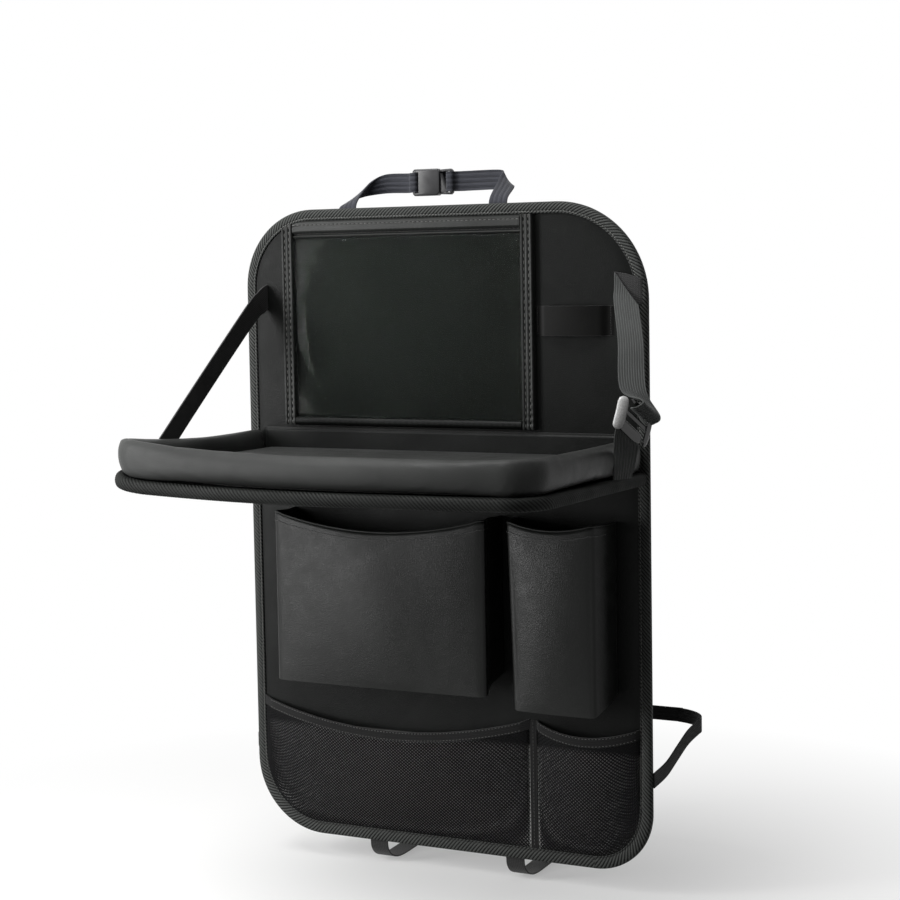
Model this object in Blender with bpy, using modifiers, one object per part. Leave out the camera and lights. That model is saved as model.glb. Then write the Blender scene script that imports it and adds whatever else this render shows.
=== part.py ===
"""Back-seat car organizer: a bound panel with a fold-down tray, pockets, mesh and straps.

Metres, +Z up. The panel stands upright in the XZ plane and its front looks along -Y.
The origin is the centre of the lining's rear face, which lies against a seat's back.
Heights named *_UP are measured up from the panel's bottom edge.
"""
import math

import bmesh
import bpy
from mathutils import Matrix, Vector

# Panel
PANEL_WIDTH = 0.450
PANEL_HEIGHT = 0.650
TOP_RADIUS = 0.085
BOTTOM_RADIUS = 0.072
CORNER_STEPS = 8
GAP = 0.0003
LINING_THICKNESS = 0.0010
BOARD_THICKNESS = 0.0050
TAPE_THICKNESS = 0.0012
TAPE_WIDTH = 0.0110

# Tablet pocket
WINDOW_FROM_LEFT = 0.047
TRIM_WIDTH = 0.0135
TRIM_HEIGHT = 0.0085
WINDOW_FROM_RIGHT = 0.130
FILM_THICKNESS = 0.0006
FILM_STANDOFF = 0.0066
HEADER_FROM_TOP = 0.0117
HEADER_WIDTH = 0.0175
HEADER_THICKNESS = 0.0022
WINDOW_BASE_WIDTH = 0.0085

# Pen band
PEN_BAND_UP = 0.5352
PEN_BAND_WIDTH = 0.0290
PEN_BAND_FROM_RIGHT = 0.0345
PEN_BAND_BULGE = 0.0105
PEN_BAND_THICKNESS = 0.0012

# Fold-down tray
HINGE_UP = 0.4250
HINGE_OFF_BOARD = 0.0029
TRAY_SIDE_MARGIN = 0.0010
TRAY_DEPTH = 0.2490
TRAY_BOW = 0.0130
TRAY_CORNER = 0.0400
TRAY_RIM_TOP_DROP = 0.0005
RIM_HEIGHT = 0.0342
RIM_THICKNESS = 0.0155
RIM_INSET = 0.0045
RIM_ROUNDING = 0.0060
TRAY_TAPE_HEIGHT = 0.0120
TRAY_TAPE_WALL = 0.0022
TRAY_TAPE_WIDTH = 0.0100
TRAY_FLOOR_DROP = 0.0195
FLAP_THICKNESS = 0.0020
HEM_WIDTH = 0.0036
HEM_THICKNESS = 0.0022
HEM_DROP = 0.0040

# Gusseted pockets
POCKET_WALL = 0.0016
POCKET_PLEAT = 0.0045
POCKET_CORNER = 0.0050
POCKET_BELLY = 0.0025
LARGE_FROM_LEFT = 0.0525
LARGE_BOTTOM_UP = 0.1680
LARGE_TOP_UP = 0.3420
LARGE_SAG = 0.0160
LARGE_DEPTH = 0.0440
TALL_FROM_RIGHT = 0.0340
TALL_WIDTH = 0.1000
TALL_FLARE = 0.0060
TALL_BOTTOM_UP = 0.1570
TALL_TOP_UP = 0.3410
TALL_SAG = 0.0060
TALL_DEPTH = 0.0440
POCKET_BOTTOM_RISE = 0.0180
POCKET_SPACING = 0.0220

# Mesh pockets
MESH_THICKNESS = 0.0012
MESH_BULGE = 0.0130
MESH_TOP_UP = 0.1300
MESH_SAG = 0.0230
MESH_BAND_WIDTH = 0.0100
MESH_BAND_THICKNESS = 0.0016
MESH_DIVIDER_FROM_RIGHT = 0.1250
MESH_DIVIDER_WIDTH = 0.0080
MESH_ROWS = 8
MESH_COLUMNS_LEFT = 28
MESH_COLUMNS_RIGHT = 10
MESH_STRAND = 0.0024

# Webbing
WEB_THICKNESS = 0.0014
TRAY_WEB_WIDTH = 0.0250
TOP_WEB_WIDTH = 0.0200
BOTTOM_WEB_WIDTH = 0.0205
BELT_WIDTH = 0.0150

# Straps that hold the tray level
STRAP_ANCHOR_FROM_TOP = 0.0780
LEFT_ANCHOR_LOWER = 0.0100
LEFT_STRAP_REACH = 0.1470
RIGHT_STRAP_REACH = 0.0600
LADDER_WIDTH = 0.0330
LADDER_LENGTH = 0.0270
LADDER_THICKNESS = 0.0036
LADDER_BAR = 0.0040
LADDER_TILT = math.radians(42)
LADDER_ALONG = (0.643, 0.766, 0.0)
LADDER_UP = 0.0190
CHEEK_PROUD = 0.0004
CHEEK_BACK = 0.0029
CHEEK_FRONT = 0.0047
CHEEK_ROUND = 0.0027

# Headrest strap
TOP_RUN_UP = 0.0250
TOP_RUN_BACK = 0.0360
TOP_LEFT_LEG = -0.1010
TOP_RIGHT_LEG = 0.0670
TOP_BUCKLE_X = -0.0160

# Side-release buckles
BUCKLE_WIDTH = 0.0270
BUCKLE_THICKNESS = 0.0090
SOCKET_LENGTH = 0.0240
SOCKET_WALL = 0.0018
PLUG_BASE = 0.0140
PRONG_LENGTH = 0.0170
WEB_SLOT = 0.0040
WEB_SLOT_BAR = 0.0030

# Straps under the seat
BOTTOM_LEFT_X = -0.0810
BOTTOM_RIGHT_X = 0.0760
BOTTOM_DROP = 0.0240
BOTTOM_REACH = 0.0700
HOOK_LENGTH = 0.0260
HOOK_THICKNESS = 0.0032

# Belt round the seat
BELT_UP = 0.0910
BELT_REACH = 0.1650
BELT_RISE = 0.0280
BELT_CORNER = 0.0500

# Places worked out from the sizes above
HALF_WIDTH = PANEL_WIDTH / 2
HALF_HEIGHT = PANEL_HEIGHT / 2
BOARD_BACK = -(LINING_THICKNESS + GAP)
FACE = BOARD_BACK - BOARD_THICKNESS
TAPE_FRONT = FACE - GAP - TAPE_THICKNESS
ON_FACE = FACE - GAP
TRIM_LEFT = -HALF_WIDTH + WINDOW_FROM_LEFT
TRIM_RIGHT = HALF_WIDTH - WINDOW_FROM_RIGHT
HEADER_TOP = HALF_HEIGHT - HEADER_FROM_TOP
HINGE_Y = FACE - HINGE_OFF_BOARD
HINGE_Z = HINGE_UP - HALF_HEIGHT
TRAY_BACK = HINGE_Y - GAP
TRAY_HALF = HALF_WIDTH - TRAY_SIDE_MARGIN
RIM_TOP = HINGE_Z - TRAY_RIM_TOP_DROP
RIM_BOTTOM = RIM_TOP - RIM_HEIGHT
TRAY_TAPE_TOP = RIM_BOTTOM - GAP
TRAY_TAPE_BOTTOM = TRAY_TAPE_TOP - TRAY_TAPE_HEIGHT
TRAY_BOARD_TOP = TRAY_TAPE_TOP - TRAY_TAPE_WALL - GAP
TRAY_BOARD_BOTTOM = TRAY_TAPE_BOTTOM + TRAY_TAPE_WALL + GAP
TRAY_FLOOR_TOP = HINGE_Z - TRAY_FLOOR_DROP
TALL_RIGHT = HALF_WIDTH - TALL_FROM_RIGHT
TALL_LEFT = TALL_RIGHT - TALL_WIDTH
LARGE_LEFT = -HALF_WIDTH + LARGE_FROM_LEFT
LARGE_RIGHT = TALL_LEFT - POCKET_SPACING
DIVIDER_X = HALF_WIDTH - MESH_DIVIDER_FROM_RIGHT
MESH_SIDE = HALF_WIDTH - TAPE_WIDTH - GAP

PARTS = None
CUTTERS = None


def clear_scene():
    """Remove what the scene holds and make the two collections."""
    global PARTS, CUTTERS
    for item in list(bpy.data.objects):
        bpy.data.objects.remove(item, do_unlink=True)
    PARTS = bpy.data.collections.new("car_organizer")
    CUTTERS = bpy.data.collections.new("cutters")
    bpy.context.scene.collection.children.link(PARTS)
    bpy.context.scene.collection.children.link(CUTTERS)


def up(height):
    """Z of a height above the panel's bottom edge."""
    return height - HALF_HEIGHT


def make_material(name, colour, roughness, metallic=0.0, alpha=1.0):
    material = bpy.data.materials.new(name)
    material.use_nodes = True
    shader = material.node_tree.nodes["Principled BSDF"]
    shader.inputs["Base Color"].default_value = (*colour, 1.0)
    shader.inputs["Roughness"].default_value = roughness
    shader.inputs["Metallic"].default_value = metallic
    shader.inputs["Alpha"].default_value = alpha
    return material


def make_materials():
    """Colours and finishes of each kind of stuff, as linear values."""
    return {
        "leatherette": make_material("leatherette", (0.026, 0.028, 0.027), 0.48),
        "tray_leatherette": make_material("tray_leatherette", (0.046, 0.047, 0.045), 0.46),
        "lining": make_material("lining", (0.016, 0.016, 0.017), 0.85),
        "tape": make_material("tape", (0.020, 0.021, 0.021), 0.72),
        "webbing": make_material("webbing", (0.011, 0.011, 0.014), 0.70),
        "elastic": make_material("elastic", (0.010, 0.010, 0.011), 0.80),
        "mesh": make_material("mesh", (0.014, 0.014, 0.015), 0.66),
        "film": make_material("film", (0.60, 0.63, 0.64), 0.08, alpha=0.22),
        "plastic": make_material("plastic", (0.013, 0.013, 0.014), 0.34),
    }


def place(name, mesh, material, collection=None):
    """Wrap a mesh in an object of the same name."""
    mesh.name = name
    item = bpy.data.objects.new(name, mesh)
    (collection or PARTS).objects.link(item)
    if material is not None:
        mesh.materials.clear()
        mesh.materials.append(material)
    return item


def own_material(name, base):
    """A sub-part's own copy of a material, named for the sub-part."""
    material = base.copy()
    material.name = name
    return material


def mesh_from_bmesh(name, bm):
    """Store a mesh with its faces turned outward."""
    bmesh.ops.recalc_face_normals(bm, faces=bm.faces)
    if bm.calc_volume(signed=True) < 0:
        bmesh.ops.reverse_faces(bm, faces=bm.faces)
    mesh = bpy.data.meshes.new(name)
    bm.to_mesh(mesh)
    bm.free()
    return mesh


def arc(cx, cy, radius, start, end, steps):
    """Points of an arc, angles in degrees."""
    turns = [start + (end - start) * i / steps for i in range(steps + 1)]
    return [(cx + radius * math.cos(math.radians(t)), cy + radius * math.sin(math.radians(t))) for t in turns]


def rounded_outline(half, low, high, low_radius, high_radius, steps=CORNER_STEPS):
    """A rectangle with round corners, its lower and upper pairs each with their own radius."""
    points = arc(half - low_radius, low + low_radius, low_radius, -90, 0, steps)
    points += arc(half - high_radius, high - high_radius, high_radius, 0, 90, steps)
    points += arc(-half + high_radius, high - high_radius, high_radius, 90, 180, steps)
    points += arc(-half + low_radius, low + low_radius, low_radius, 180, 270, steps)
    return points


def panel_outline(inset):
    return rounded_outline(
        HALF_WIDTH - inset,
        -HALF_HEIGHT + inset,
        HALF_HEIGHT - inset,
        BOTTOM_RADIUS - inset,
        TOP_RADIUS - inset,
    )


def plate(name, outline, low, high, material, plane="XZ", collection=None):
    """A flat outline given thickness: in XZ between two depths, or in XY between two heights."""
    curve = bpy.data.curves.new(name, "CURVE")
    curve.dimensions = "2D"
    curve.fill_mode = "BOTH"
    curve.extrude = abs(high - low) / 2
    spline = curve.splines.new("POLY")
    spline.points.add(len(outline) - 1)
    for point, (a, b) in zip(spline.points, outline):
        point.co = (a, b, 0.0, 1.0)
    spline.use_cyclic_u = True
    middle = (low + high) / 2
    holder = bpy.data.objects.new(name, curve)
    PARTS.objects.link(holder)
    if plane == "XZ":
        holder.matrix_world = Matrix.Translation((0, middle, 0)) @ Matrix.Rotation(math.pi / 2, 4, "X")
    elif plane == "YZ":
        turn = Matrix(((0, 0, 1, 0), (1, 0, 0, 0), (0, 1, 0, 0), (0, 0, 0, 1)))
        holder.matrix_world = Matrix.Translation((middle, 0, 0)) @ turn
    else:
        holder.matrix_world = Matrix.Translation((0, 0, middle))
    bpy.context.view_layer.update()
    graph = bpy.context.evaluated_depsgraph_get()
    bm = bmesh.new()
    bm.from_mesh(bpy.data.meshes.new_from_object(holder.evaluated_get(graph)))
    bmesh.ops.remove_doubles(bm, verts=bm.verts, dist=0.00001)
    bmesh.ops.dissolve_limit(bm, angle_limit=0.0005, verts=bm.verts, edges=bm.edges)
    bm.transform(holder.matrix_world)
    bpy.data.objects.remove(holder, do_unlink=True)
    return place(name, mesh_from_bmesh(name, bm), material, collection)


def block(name, low, high, material=None, collection=None):
    """A box between two corners."""
    bm = bmesh.new()
    bmesh.ops.create_cube(bm, size=1.0)
    size = [h - l for l, h in zip(low, high)]
    bmesh.ops.scale(bm, vec=size, verts=bm.verts)
    bmesh.ops.translate(bm, vec=[(l + h) / 2 for l, h in zip(low, high)], verts=bm.verts)
    return place(name, mesh_from_bmesh(name, bm), material, collection)


def bevel(item, width, segments=2, angle=45):
    modifier = item.modifiers.new("rounded_edges", "BEVEL")
    modifier.width = width
    modifier.segments = segments
    modifier.limit_method = "ANGLE"
    modifier.angle_limit = math.radians(angle)
    return item


def combine(item, other, operation):
    """Boolean with a helper object, which stays out of the render."""
    for collection in list(other.users_collection):
        collection.objects.unlink(other)
    CUTTERS.objects.link(other)
    other.hide_render = True
    other.display_type = "WIRE"
    modifier = item.modifiers.new(operation.lower(), "BOOLEAN")
    modifier.operation = operation
    modifier.solver = "EXACT"
    modifier.object = other
    return item


def cut(item, cutter):
    return combine(item, cutter, "DIFFERENCE")


def solidify(item, thickness, offset=-1.0, even=True):
    modifier = item.modifiers.new("wall", "SOLIDIFY")
    modifier.thickness = thickness
    modifier.offset = offset
    modifier.use_even_offset = even
    return item


def smooth(item, angle=35):
    item.data.shade_smooth()
    item.data.set_sharp_from_angle(angle=math.radians(angle))
    return item


def ribbon(name, stations, width, thickness, material, steps=1):
    """A strip of webbing lofted through stations of (centre, direction of its width)."""
    centres = smooth_route([c for c, _ in stations], steps)
    across = [turn.normalized() for turn in smooth_route([Vector(w).normalized() for _, w in stations], steps)]
    bm = bmesh.new()
    rings = []
    for i, centre in enumerate(centres):
        before = centres[max(i - 1, 0)]
        after = centres[min(i + 1, len(centres) - 1)]
        normal = (after - before).cross(across[i]).normalized()
        side = across[i] * width / 2
        face = normal * thickness / 2
        corners = (side + face, side - face, -side - face, -side + face)
        rings.append([bm.verts.new(centre + corner) for corner in corners])
    for first, second in zip(rings, rings[1:]):
        for k in range(4):
            bm.faces.new((first[k], first[(k + 1) % 4], second[(k + 1) % 4], second[k]))
    bm.faces.new(rings[0])
    bm.faces.new(reversed(rings[-1]))
    bmesh.ops.triangulate(bm, faces=bm.faces)
    return place(name, mesh_from_bmesh(name, bm), own_material(name, material))


def smooth_route(points, steps):
    """Points on a smooth curve through the given ones."""
    points = [Vector(p) for p in points]
    ends = [2 * points[0] - points[1], *points, 2 * points[-1] - points[-2]]
    route = []
    for a, b, c, d in zip(ends, ends[1:], ends[2:], ends[3:]):
        for i in range(steps):
            t = i / steps
            turn = (2 * a - 5 * b + 4 * c - d) * t**2
            sway = (3 * b - a - 3 * c + d) * t**3
            route.append(0.5 * (2 * b + (c - a) * t + turn + sway))
    route.append(points[-1])
    return route


def bound_frame(name, outline, low, high, wall, width, plane, material):
    """Folded tape round a board's edge: a slot takes the board and a window leaves its faces bare."""
    frame = plate(name, outline(0), low, high, own_material(name, material), plane)
    bevel(frame, wall * 0.6, 2)
    slot = plate(name + "_slot", outline(wall), low + wall, high - wall, None, plane, CUTTERS)
    window = plate(name + "_window", outline(width), low - wall, high + wall, None, plane, CUTTERS)
    cut(frame, slot)
    cut(frame, window)
    return frame


def make_panel(mats):
    """Stiff board, lining and folded edge tape."""
    board = panel_outline(TAPE_THICKNESS + GAP)
    plate("back_panel", board, FACE, BOARD_BACK, own_material("back_panel", mats["leatherette"]))
    lining = panel_outline(TAPE_WIDTH + GAP)
    plate("rear_lining", lining, -LINING_THICKNESS, 0.0, own_material("rear_lining", mats["lining"]))
    bound_frame(
        "edge_binding", panel_outline, TAPE_FRONT, 0.0, TAPE_THICKNESS, TAPE_WIDTH, "XZ", mats["tape"]
    )


def ridged_section(left, width, back, height):
    """Plan section of a trim with two padded ridges."""
    ridge = width / 4
    points = [(left, back), (left + width, back)]
    for middle, start in ((left + 3 * ridge, 0), (left + ridge, 36)):
        steps = 5 - start // 36
        for x, y in arc(0, 0, ridge, start, 180, steps):
            points.append((middle + x, back - height + ridge * 0.8 - y * 0.8))
    return points


def make_tablet_pocket(mats):
    """Clear film held by two ridged side trims, a base trim and a ribbed header, open at the top."""
    low = HINGE_Z + HEM_WIDTH + 3 * GAP
    for name, left in (("window_trim_left", TRIM_LEFT), ("window_trim_right", TRIM_RIGHT)):
        section = ridged_section(left, TRIM_WIDTH, ON_FACE, TRIM_HEIGHT)
        high = min(HEADER_TOP, tape_inner_top(left), tape_inner_top(left + TRIM_WIDTH))
        smooth(plate(name, section, low, high, own_material(name, mats["leatherette"]), "XY"))
    left = TRIM_LEFT + TRIM_WIDTH + GAP
    right = TRIM_RIGHT - GAP
    film_back = ON_FACE - FILM_STANDOFF
    base = block(
        "window_base_trim",
        (left, ON_FACE - TRIM_HEIGHT, low),
        (right, ON_FACE, low + WINDOW_BASE_WIDTH),
        own_material("window_base_trim", mats["leatherette"]),
    )
    bevel(base, 0.0012, 2)
    film_low = low + WINDOW_BASE_WIDTH + GAP
    film_high = HEADER_TOP - HEADER_WIDTH - GAP
    block(
        "tablet_window",
        (left, film_back - FILM_THICKNESS, film_low),
        (right, film_back, film_high),
        own_material("tablet_window", mats["film"]),
    )
    header = header_section(film_back, HEADER_TOP - HEADER_WIDTH, HEADER_TOP)
    strip_material = own_material("window_header", mats["leatherette"])
    strip = plate("window_header", header, left, right, strip_material, "YZ")
    smooth(fit_inside_tape(strip))


def tape_inner_top(x):
    """Highest Z at x that is clear of the edge tape's inner edge."""
    radius = TOP_RADIUS - TAPE_WIDTH
    past = max(0.0, abs(x) - (HALF_WIDTH - TOP_RADIUS))
    return HALF_HEIGHT - TOP_RADIUS + math.sqrt(radius**2 - past**2) - GAP


def fit_inside_tape(item):
    """Trim a piece to the inner edge of the panel's edge tape."""
    outline = panel_outline(TAPE_WIDTH + GAP)
    keep = plate(item.name + "_keep", outline, ON_FACE - 2 * TRIM_HEIGHT, 0.0, None, "XZ", CUTTERS)
    return combine(item, keep, "INTERSECT")


def header_section(back, low, high):
    """Section of the header: a flat strip with three long pleats."""
    pleats = 3
    points = [(back, low), (back, high)]
    steps = 6 * pleats
    for i in range(steps + 1):
        z = high - (high - low) * i / steps
        depth = HEADER_THICKNESS * (0.72 + 0.28 * math.cos(2 * math.pi * i / 6 + math.pi))
        points.append((back - depth, z))
    return points


def make_pen_band(mats):
    """Elastic loop for pens, sewn down at both ends."""
    left = TRIM_RIGHT + TRIM_WIDTH + 2 * GAP
    right = HALF_WIDTH - PEN_BAND_FROM_RIGHT
    ground = ON_FACE - PEN_BAND_THICKNESS / 2
    height = up(PEN_BAND_UP)
    steps = 14
    stations = []
    for i in range(steps + 1):
        t = i / steps
        rise = PEN_BAND_BULGE * max(0.0, math.sin(math.pi * (t * 1.16 - 0.08))) ** 0.55
        stations.append(((left + (right - left) * t, ground - rise, height), (0, 0, 1)))
    smooth(ribbon("pen_elastic", stations, PEN_BAND_WIDTH, PEN_BAND_THICKNESS, mats["elastic"]), 60)


def tray_outline(inset):
    """Plan of the tray: straight at the hinge, round front corners and a bowed front edge."""
    half = TRAY_HALF - inset
    back = TRAY_BACK - inset
    corner = TRAY_CORNER - inset
    front = TRAY_BACK - TRAY_DEPTH + inset
    points = [(-half, back)]
    points += arc(-half + corner, front + corner, corner, 180, 262, CORNER_STEPS)
    start = points[-1]
    end = (-start[0], start[1])
    bow_steps = 10
    for i in range(1, bow_steps):
        t = i / bow_steps
        rise = TRAY_BOW * math.sin(math.pi * t)
        points.append((start[0] + (end[0] - start[0]) * t, start[1] - rise))
    points += arc(half - corner, front + corner, corner, 278, 360, CORNER_STEPS)
    points.append((half, back))
    return points


def make_tray(mats):
    """Board with bound edge, padded rim on three sides, padded floor and the rear flap."""
    bound_frame(
        "tray_edge_binding",
        tray_outline,
        TRAY_TAPE_BOTTOM,
        TRAY_TAPE_TOP,
        TRAY_TAPE_WALL,
        TRAY_TAPE_WIDTH,
        "XY",
        mats["tape"],
    )
    board = tray_outline(TRAY_TAPE_WALL + GAP)
    plate(
        "tray_board",
        board,
        TRAY_BOARD_BOTTOM,
        TRAY_BOARD_TOP,
        own_material("tray_board", mats["leatherette"]),
        "XY",
    )
    outer = tray_outline(RIM_INSET)
    inner = tray_outline(RIM_INSET + RIM_THICKNESS)
    outer[0] = (outer[0][0], TRAY_BACK)
    outer[-1] = (outer[-1][0], TRAY_BACK)
    inner[0] = (inner[0][0], TRAY_BACK)
    inner[-1] = (inner[-1][0], TRAY_BACK)
    rim = plate(
        "tray_rim",
        outer + inner[::-1],
        RIM_BOTTOM,
        RIM_TOP,
        own_material("tray_rim", mats["tray_leatherette"]),
        "XY",
    )
    bevel(rim, RIM_ROUNDING, 4, 60)
    smooth(rim, 50)
    inside = RIM_INSET + RIM_THICKNESS + GAP
    floor = tray_outline(inside)
    behind = TRAY_BACK - FLAP_THICKNESS - GAP
    floor[0] = (floor[0][0], behind)
    floor[-1] = (floor[-1][0], behind)
    plate(
        "tray_floor",
        floor,
        TRAY_TAPE_TOP + GAP,
        TRAY_FLOOR_TOP,
        own_material("tray_floor", mats["tray_leatherette"]),
        "XY",
    )
    half = TRAY_HALF - inside
    flap = block(
        "tray_rear_flap",
        (-half, TRAY_BACK - FLAP_THICKNESS, TRAY_TAPE_TOP + GAP),
        (half, TRAY_BACK, RIM_TOP),
        own_material("tray_rear_flap", mats["leatherette"]),
    )
    bevel(flap, FLAP_THICKNESS * 0.35, 1)
    hem = block(
        "hinge_hem",
        (-half, ON_FACE - HEM_THICKNESS, HINGE_Z - HEM_DROP),
        (half, ON_FACE, HINGE_Z + HEM_WIDTH),
        own_material("hinge_hem", mats["leatherette"]),
    )
    bevel(hem, HEM_THICKNESS * 0.35, 1)


def pocket(name, left, right, bottom, top, sag, depth, flare, material):
    """Box pocket folded from one sheet: front, pleated sides and bottom, open at the top."""
    back = ON_FACE - POCKET_WALL * 0.3
    front = back - depth
    middle = (back + front) / 2
    side = [(0.0, back), (POCKET_PLEAT, middle), (0.0, front + POCKET_CORNER)]
    side += [(POCKET_CORNER * 0.3, front + POCKET_CORNER * 0.3), (POCKET_CORNER, front)]
    columns = 8
    span = right - left
    plan = [(left + x, y, 0.0) for x, y in side]
    for i in range(1, columns):
        t = i / columns
        plan.append((left + POCKET_CORNER + (span - 2 * POCKET_CORNER) * t, front, math.sin(math.pi * t)))
    plan += [(right - x, y, 0.0) for x, y in reversed(side)]
    rows = 6
    bm = bmesh.new()
    levels = []
    for row in range(rows + 1):
        v = row / rows
        level = []
        for x, y, belly in plan:
            low = bottom + POCKET_BOTTOM_RISE * (y - front) / (back - front)
            z = low + (top - low - sag * belly**0.8 * v) * v
            lean = flare * v * (right - x) / span
            level.append(bm.verts.new((x - lean, y - POCKET_BELLY * belly * math.sin(math.pi * v), z)))
        levels.append(level)
    for lower, upper in zip(levels, levels[1:]):
        for a, b, c, d in zip(lower, lower[1:], upper[1:], upper):
            bm.faces.new((a, b, c, d))
    bm.faces.new(levels[0][::-1])
    item = place(name, mesh_from_bmesh(name, bm), own_material(name, material))
    face_outward(item, Vector(((left + right) / 2, (back + front) / 2, (bottom + top) / 2)))
    solidify(item, POCKET_WALL)
    return smooth(item, 40)


def face_outward(item, inside):
    """Turn an open sheet's faces away from a point inside it."""
    bm = bmesh.new()
    bm.from_mesh(item.data)
    outward = sum(f.calc_area() * f.normal.dot(f.calc_center_median() - inside) for f in bm.faces)
    if outward < 0:
        bmesh.ops.reverse_faces(bm, faces=bm.faces)
    bm.to_mesh(item.data)
    bm.free()


def make_pockets(mats):
    pocket(
        "large_pocket",
        LARGE_LEFT,
        LARGE_RIGHT,
        up(LARGE_BOTTOM_UP),
        up(LARGE_TOP_UP),
        LARGE_SAG,
        LARGE_DEPTH,
        0.0,
        mats["leatherette"],
    )
    pocket(
        "tall_pocket",
        TALL_LEFT,
        TALL_RIGHT,
        up(TALL_BOTTOM_UP),
        up(TALL_TOP_UP),
        TALL_SAG,
        TALL_DEPTH,
        TALL_FLARE,
        mats["leatherette"],
    )


def mesh_low(x):
    """Lowest Z of the mesh at x, inside the tape and its round corner."""
    low = -HALF_HEIGHT + TAPE_WIDTH + GAP
    radius = BOTTOM_RADIUS - TAPE_WIDTH - GAP
    past = abs(x) - (MESH_SIDE - radius)
    if past <= 0:
        return low
    return low + radius - math.sqrt(max(0.0, radius**2 - past**2))


def mesh_belly(t):
    """How far out the mesh stands along its width, from 0 at a seam to 1 in the middle."""
    return math.sin(math.pi * t) ** 0.6 if 0 < t < 1 else 0.0


def mesh_pocket(name, left, right, columns, sag, material):
    """A bulged net with staggered diamond openings, sewn down at its sides and bottom."""
    bm = bmesh.new()
    ground = ON_FACE - MESH_THICKNESS
    grid = []
    for i in range(columns + 1):
        t = i / columns
        x = left + (right - left) * t
        low = mesh_low(x)
        high = up(MESH_TOP_UP) - sag * math.sin(math.pi * t) ** 0.8 if 0 < t < 1 else up(MESH_TOP_UP)
        column = []
        for row in range(MESH_ROWS + 1):
            v = row / MESH_ROWS
            out = MESH_BULGE * mesh_belly(t) * math.sin(math.pi / 2 * v) ** 0.8
            column.append(bm.verts.new((x, ground - out, low + (high - low) * v)))
        grid.append(column)
    cells = []
    for i in range(columns + 1):
        for j in range(MESH_ROWS + 1):
            if (i + j) % 2 == 0:
                continue
            around = [(i - 1, j), (i, j - 1), (i + 1, j), (i, j + 1)]
            ring = [grid[a][b] if 0 <= a <= columns and 0 <= b <= MESH_ROWS else None for a, b in around]
            if ring.count(None) == 2:
                ring[ring.index(None)] = grid[i][j]
            face = bm.faces.new([corner for corner in ring if corner is not None])
            if None not in ring:
                cells.append(face)
    bm.normal_update()
    bmesh.ops.inset_individual(bm, faces=cells, thickness=MESH_STRAND / 2, use_even_offset=True)
    bmesh.ops.delete(bm, geom=cells, context="FACES_ONLY")
    bmesh.ops.delete(bm, geom=[v for v in bm.verts if not v.link_faces], context="VERTS")
    item = place(name, mesh_from_bmesh(name, bm), own_material(name, material))
    face_outward(item, Vector(((left + right) / 2, 0.0, up(MESH_TOP_UP))))
    return solidify(item, MESH_THICKNESS, even=False)


def mesh_band(name, left, right, sag, material):
    """Elastic binding along the mesh's top edge."""
    steps = 16
    stations = []
    for i in range(steps + 1):
        t = i / steps
        fall = sag * math.sin(math.pi * t) ** 0.8 if 0 < t < 1 else 0.0
        x = left + (right - left) * t
        y = ON_FACE - MESH_BAND_THICKNESS / 2 - MESH_BULGE * mesh_belly(t)
        z = up(MESH_TOP_UP) - fall + MESH_BAND_WIDTH / 2 + 4 * GAP
        stations.append(((x, y, z), (0, 0, 1)))
    return smooth(ribbon(name, stations, MESH_BAND_WIDTH, MESH_BAND_THICKNESS, material), 60)


def make_mesh_pockets(mats):
    seam = MESH_DIVIDER_WIDTH / 2 + GAP
    right_sag = MESH_SAG * 0.45
    mesh_pocket("mesh_pocket_left", -MESH_SIDE, DIVIDER_X - seam, MESH_COLUMNS_LEFT, MESH_SAG, mats["mesh"])
    mesh_pocket("mesh_pocket_right", DIVIDER_X + seam, MESH_SIDE, MESH_COLUMNS_RIGHT, right_sag, mats["mesh"])
    mesh_band("mesh_band_left", -MESH_SIDE, DIVIDER_X - seam, MESH_SAG, mats["elastic"])
    mesh_band("mesh_band_right", DIVIDER_X + seam, MESH_SIDE, right_sag, mats["elastic"])
    divider = block(
        "mesh_divider",
        (DIVIDER_X - MESH_DIVIDER_WIDTH / 2, ON_FACE - MESH_BAND_THICKNESS, mesh_low(DIVIDER_X)),
        (DIVIDER_X + MESH_DIVIDER_WIDTH / 2, ON_FACE, up(MESH_TOP_UP) + MESH_BAND_WIDTH),
        own_material("mesh_divider", mats["elastic"]),
    )
    bevel(divider, MESH_BAND_THICKNESS * 0.4, 1)


def make_left_strap(mats):
    """Webbing from the panel's left edge to the outside of the tray's left wall."""
    anchor = HALF_HEIGHT - STRAP_ANCHOR_FROM_TOP - LEFT_ANCHOR_LOWER
    wall = -TRAY_HALF + RIM_INSET - WEB_THICKNESS / 2 - 2 * GAP
    start_x = -HALF_WIDTH + TAPE_WIDTH + 0.0140
    start_y = ON_FACE
    end_y = TRAY_BACK - LEFT_STRAP_REACH
    steep = (0.10, -0.673, 0.733)
    stations = [
        ((start_x, start_y, anchor), (0, 0, 1)),
        ((start_x - 0.0010, start_y - 0.0110, anchor - 0.0045), (0, -0.3, 0.95)),
        ((start_x - 0.0045, start_y - 0.0350, anchor - 0.0245), steep),
        ((wall + 0.0015, end_y + 0.0110, HINGE_Z + 0.0170), steep),
        ((wall, end_y, HINGE_Z - 0.0030), (0, -0.9, 0.44)),
        ((wall, end_y - 0.0010, TRAY_TAPE_TOP + GAP), (0, -1, 0)),
    ]
    smooth(ribbon("tray_strap_left", stations, TRAY_WEB_WIDTH, WEB_THICKNESS, mats["webbing"]), 60)


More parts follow.
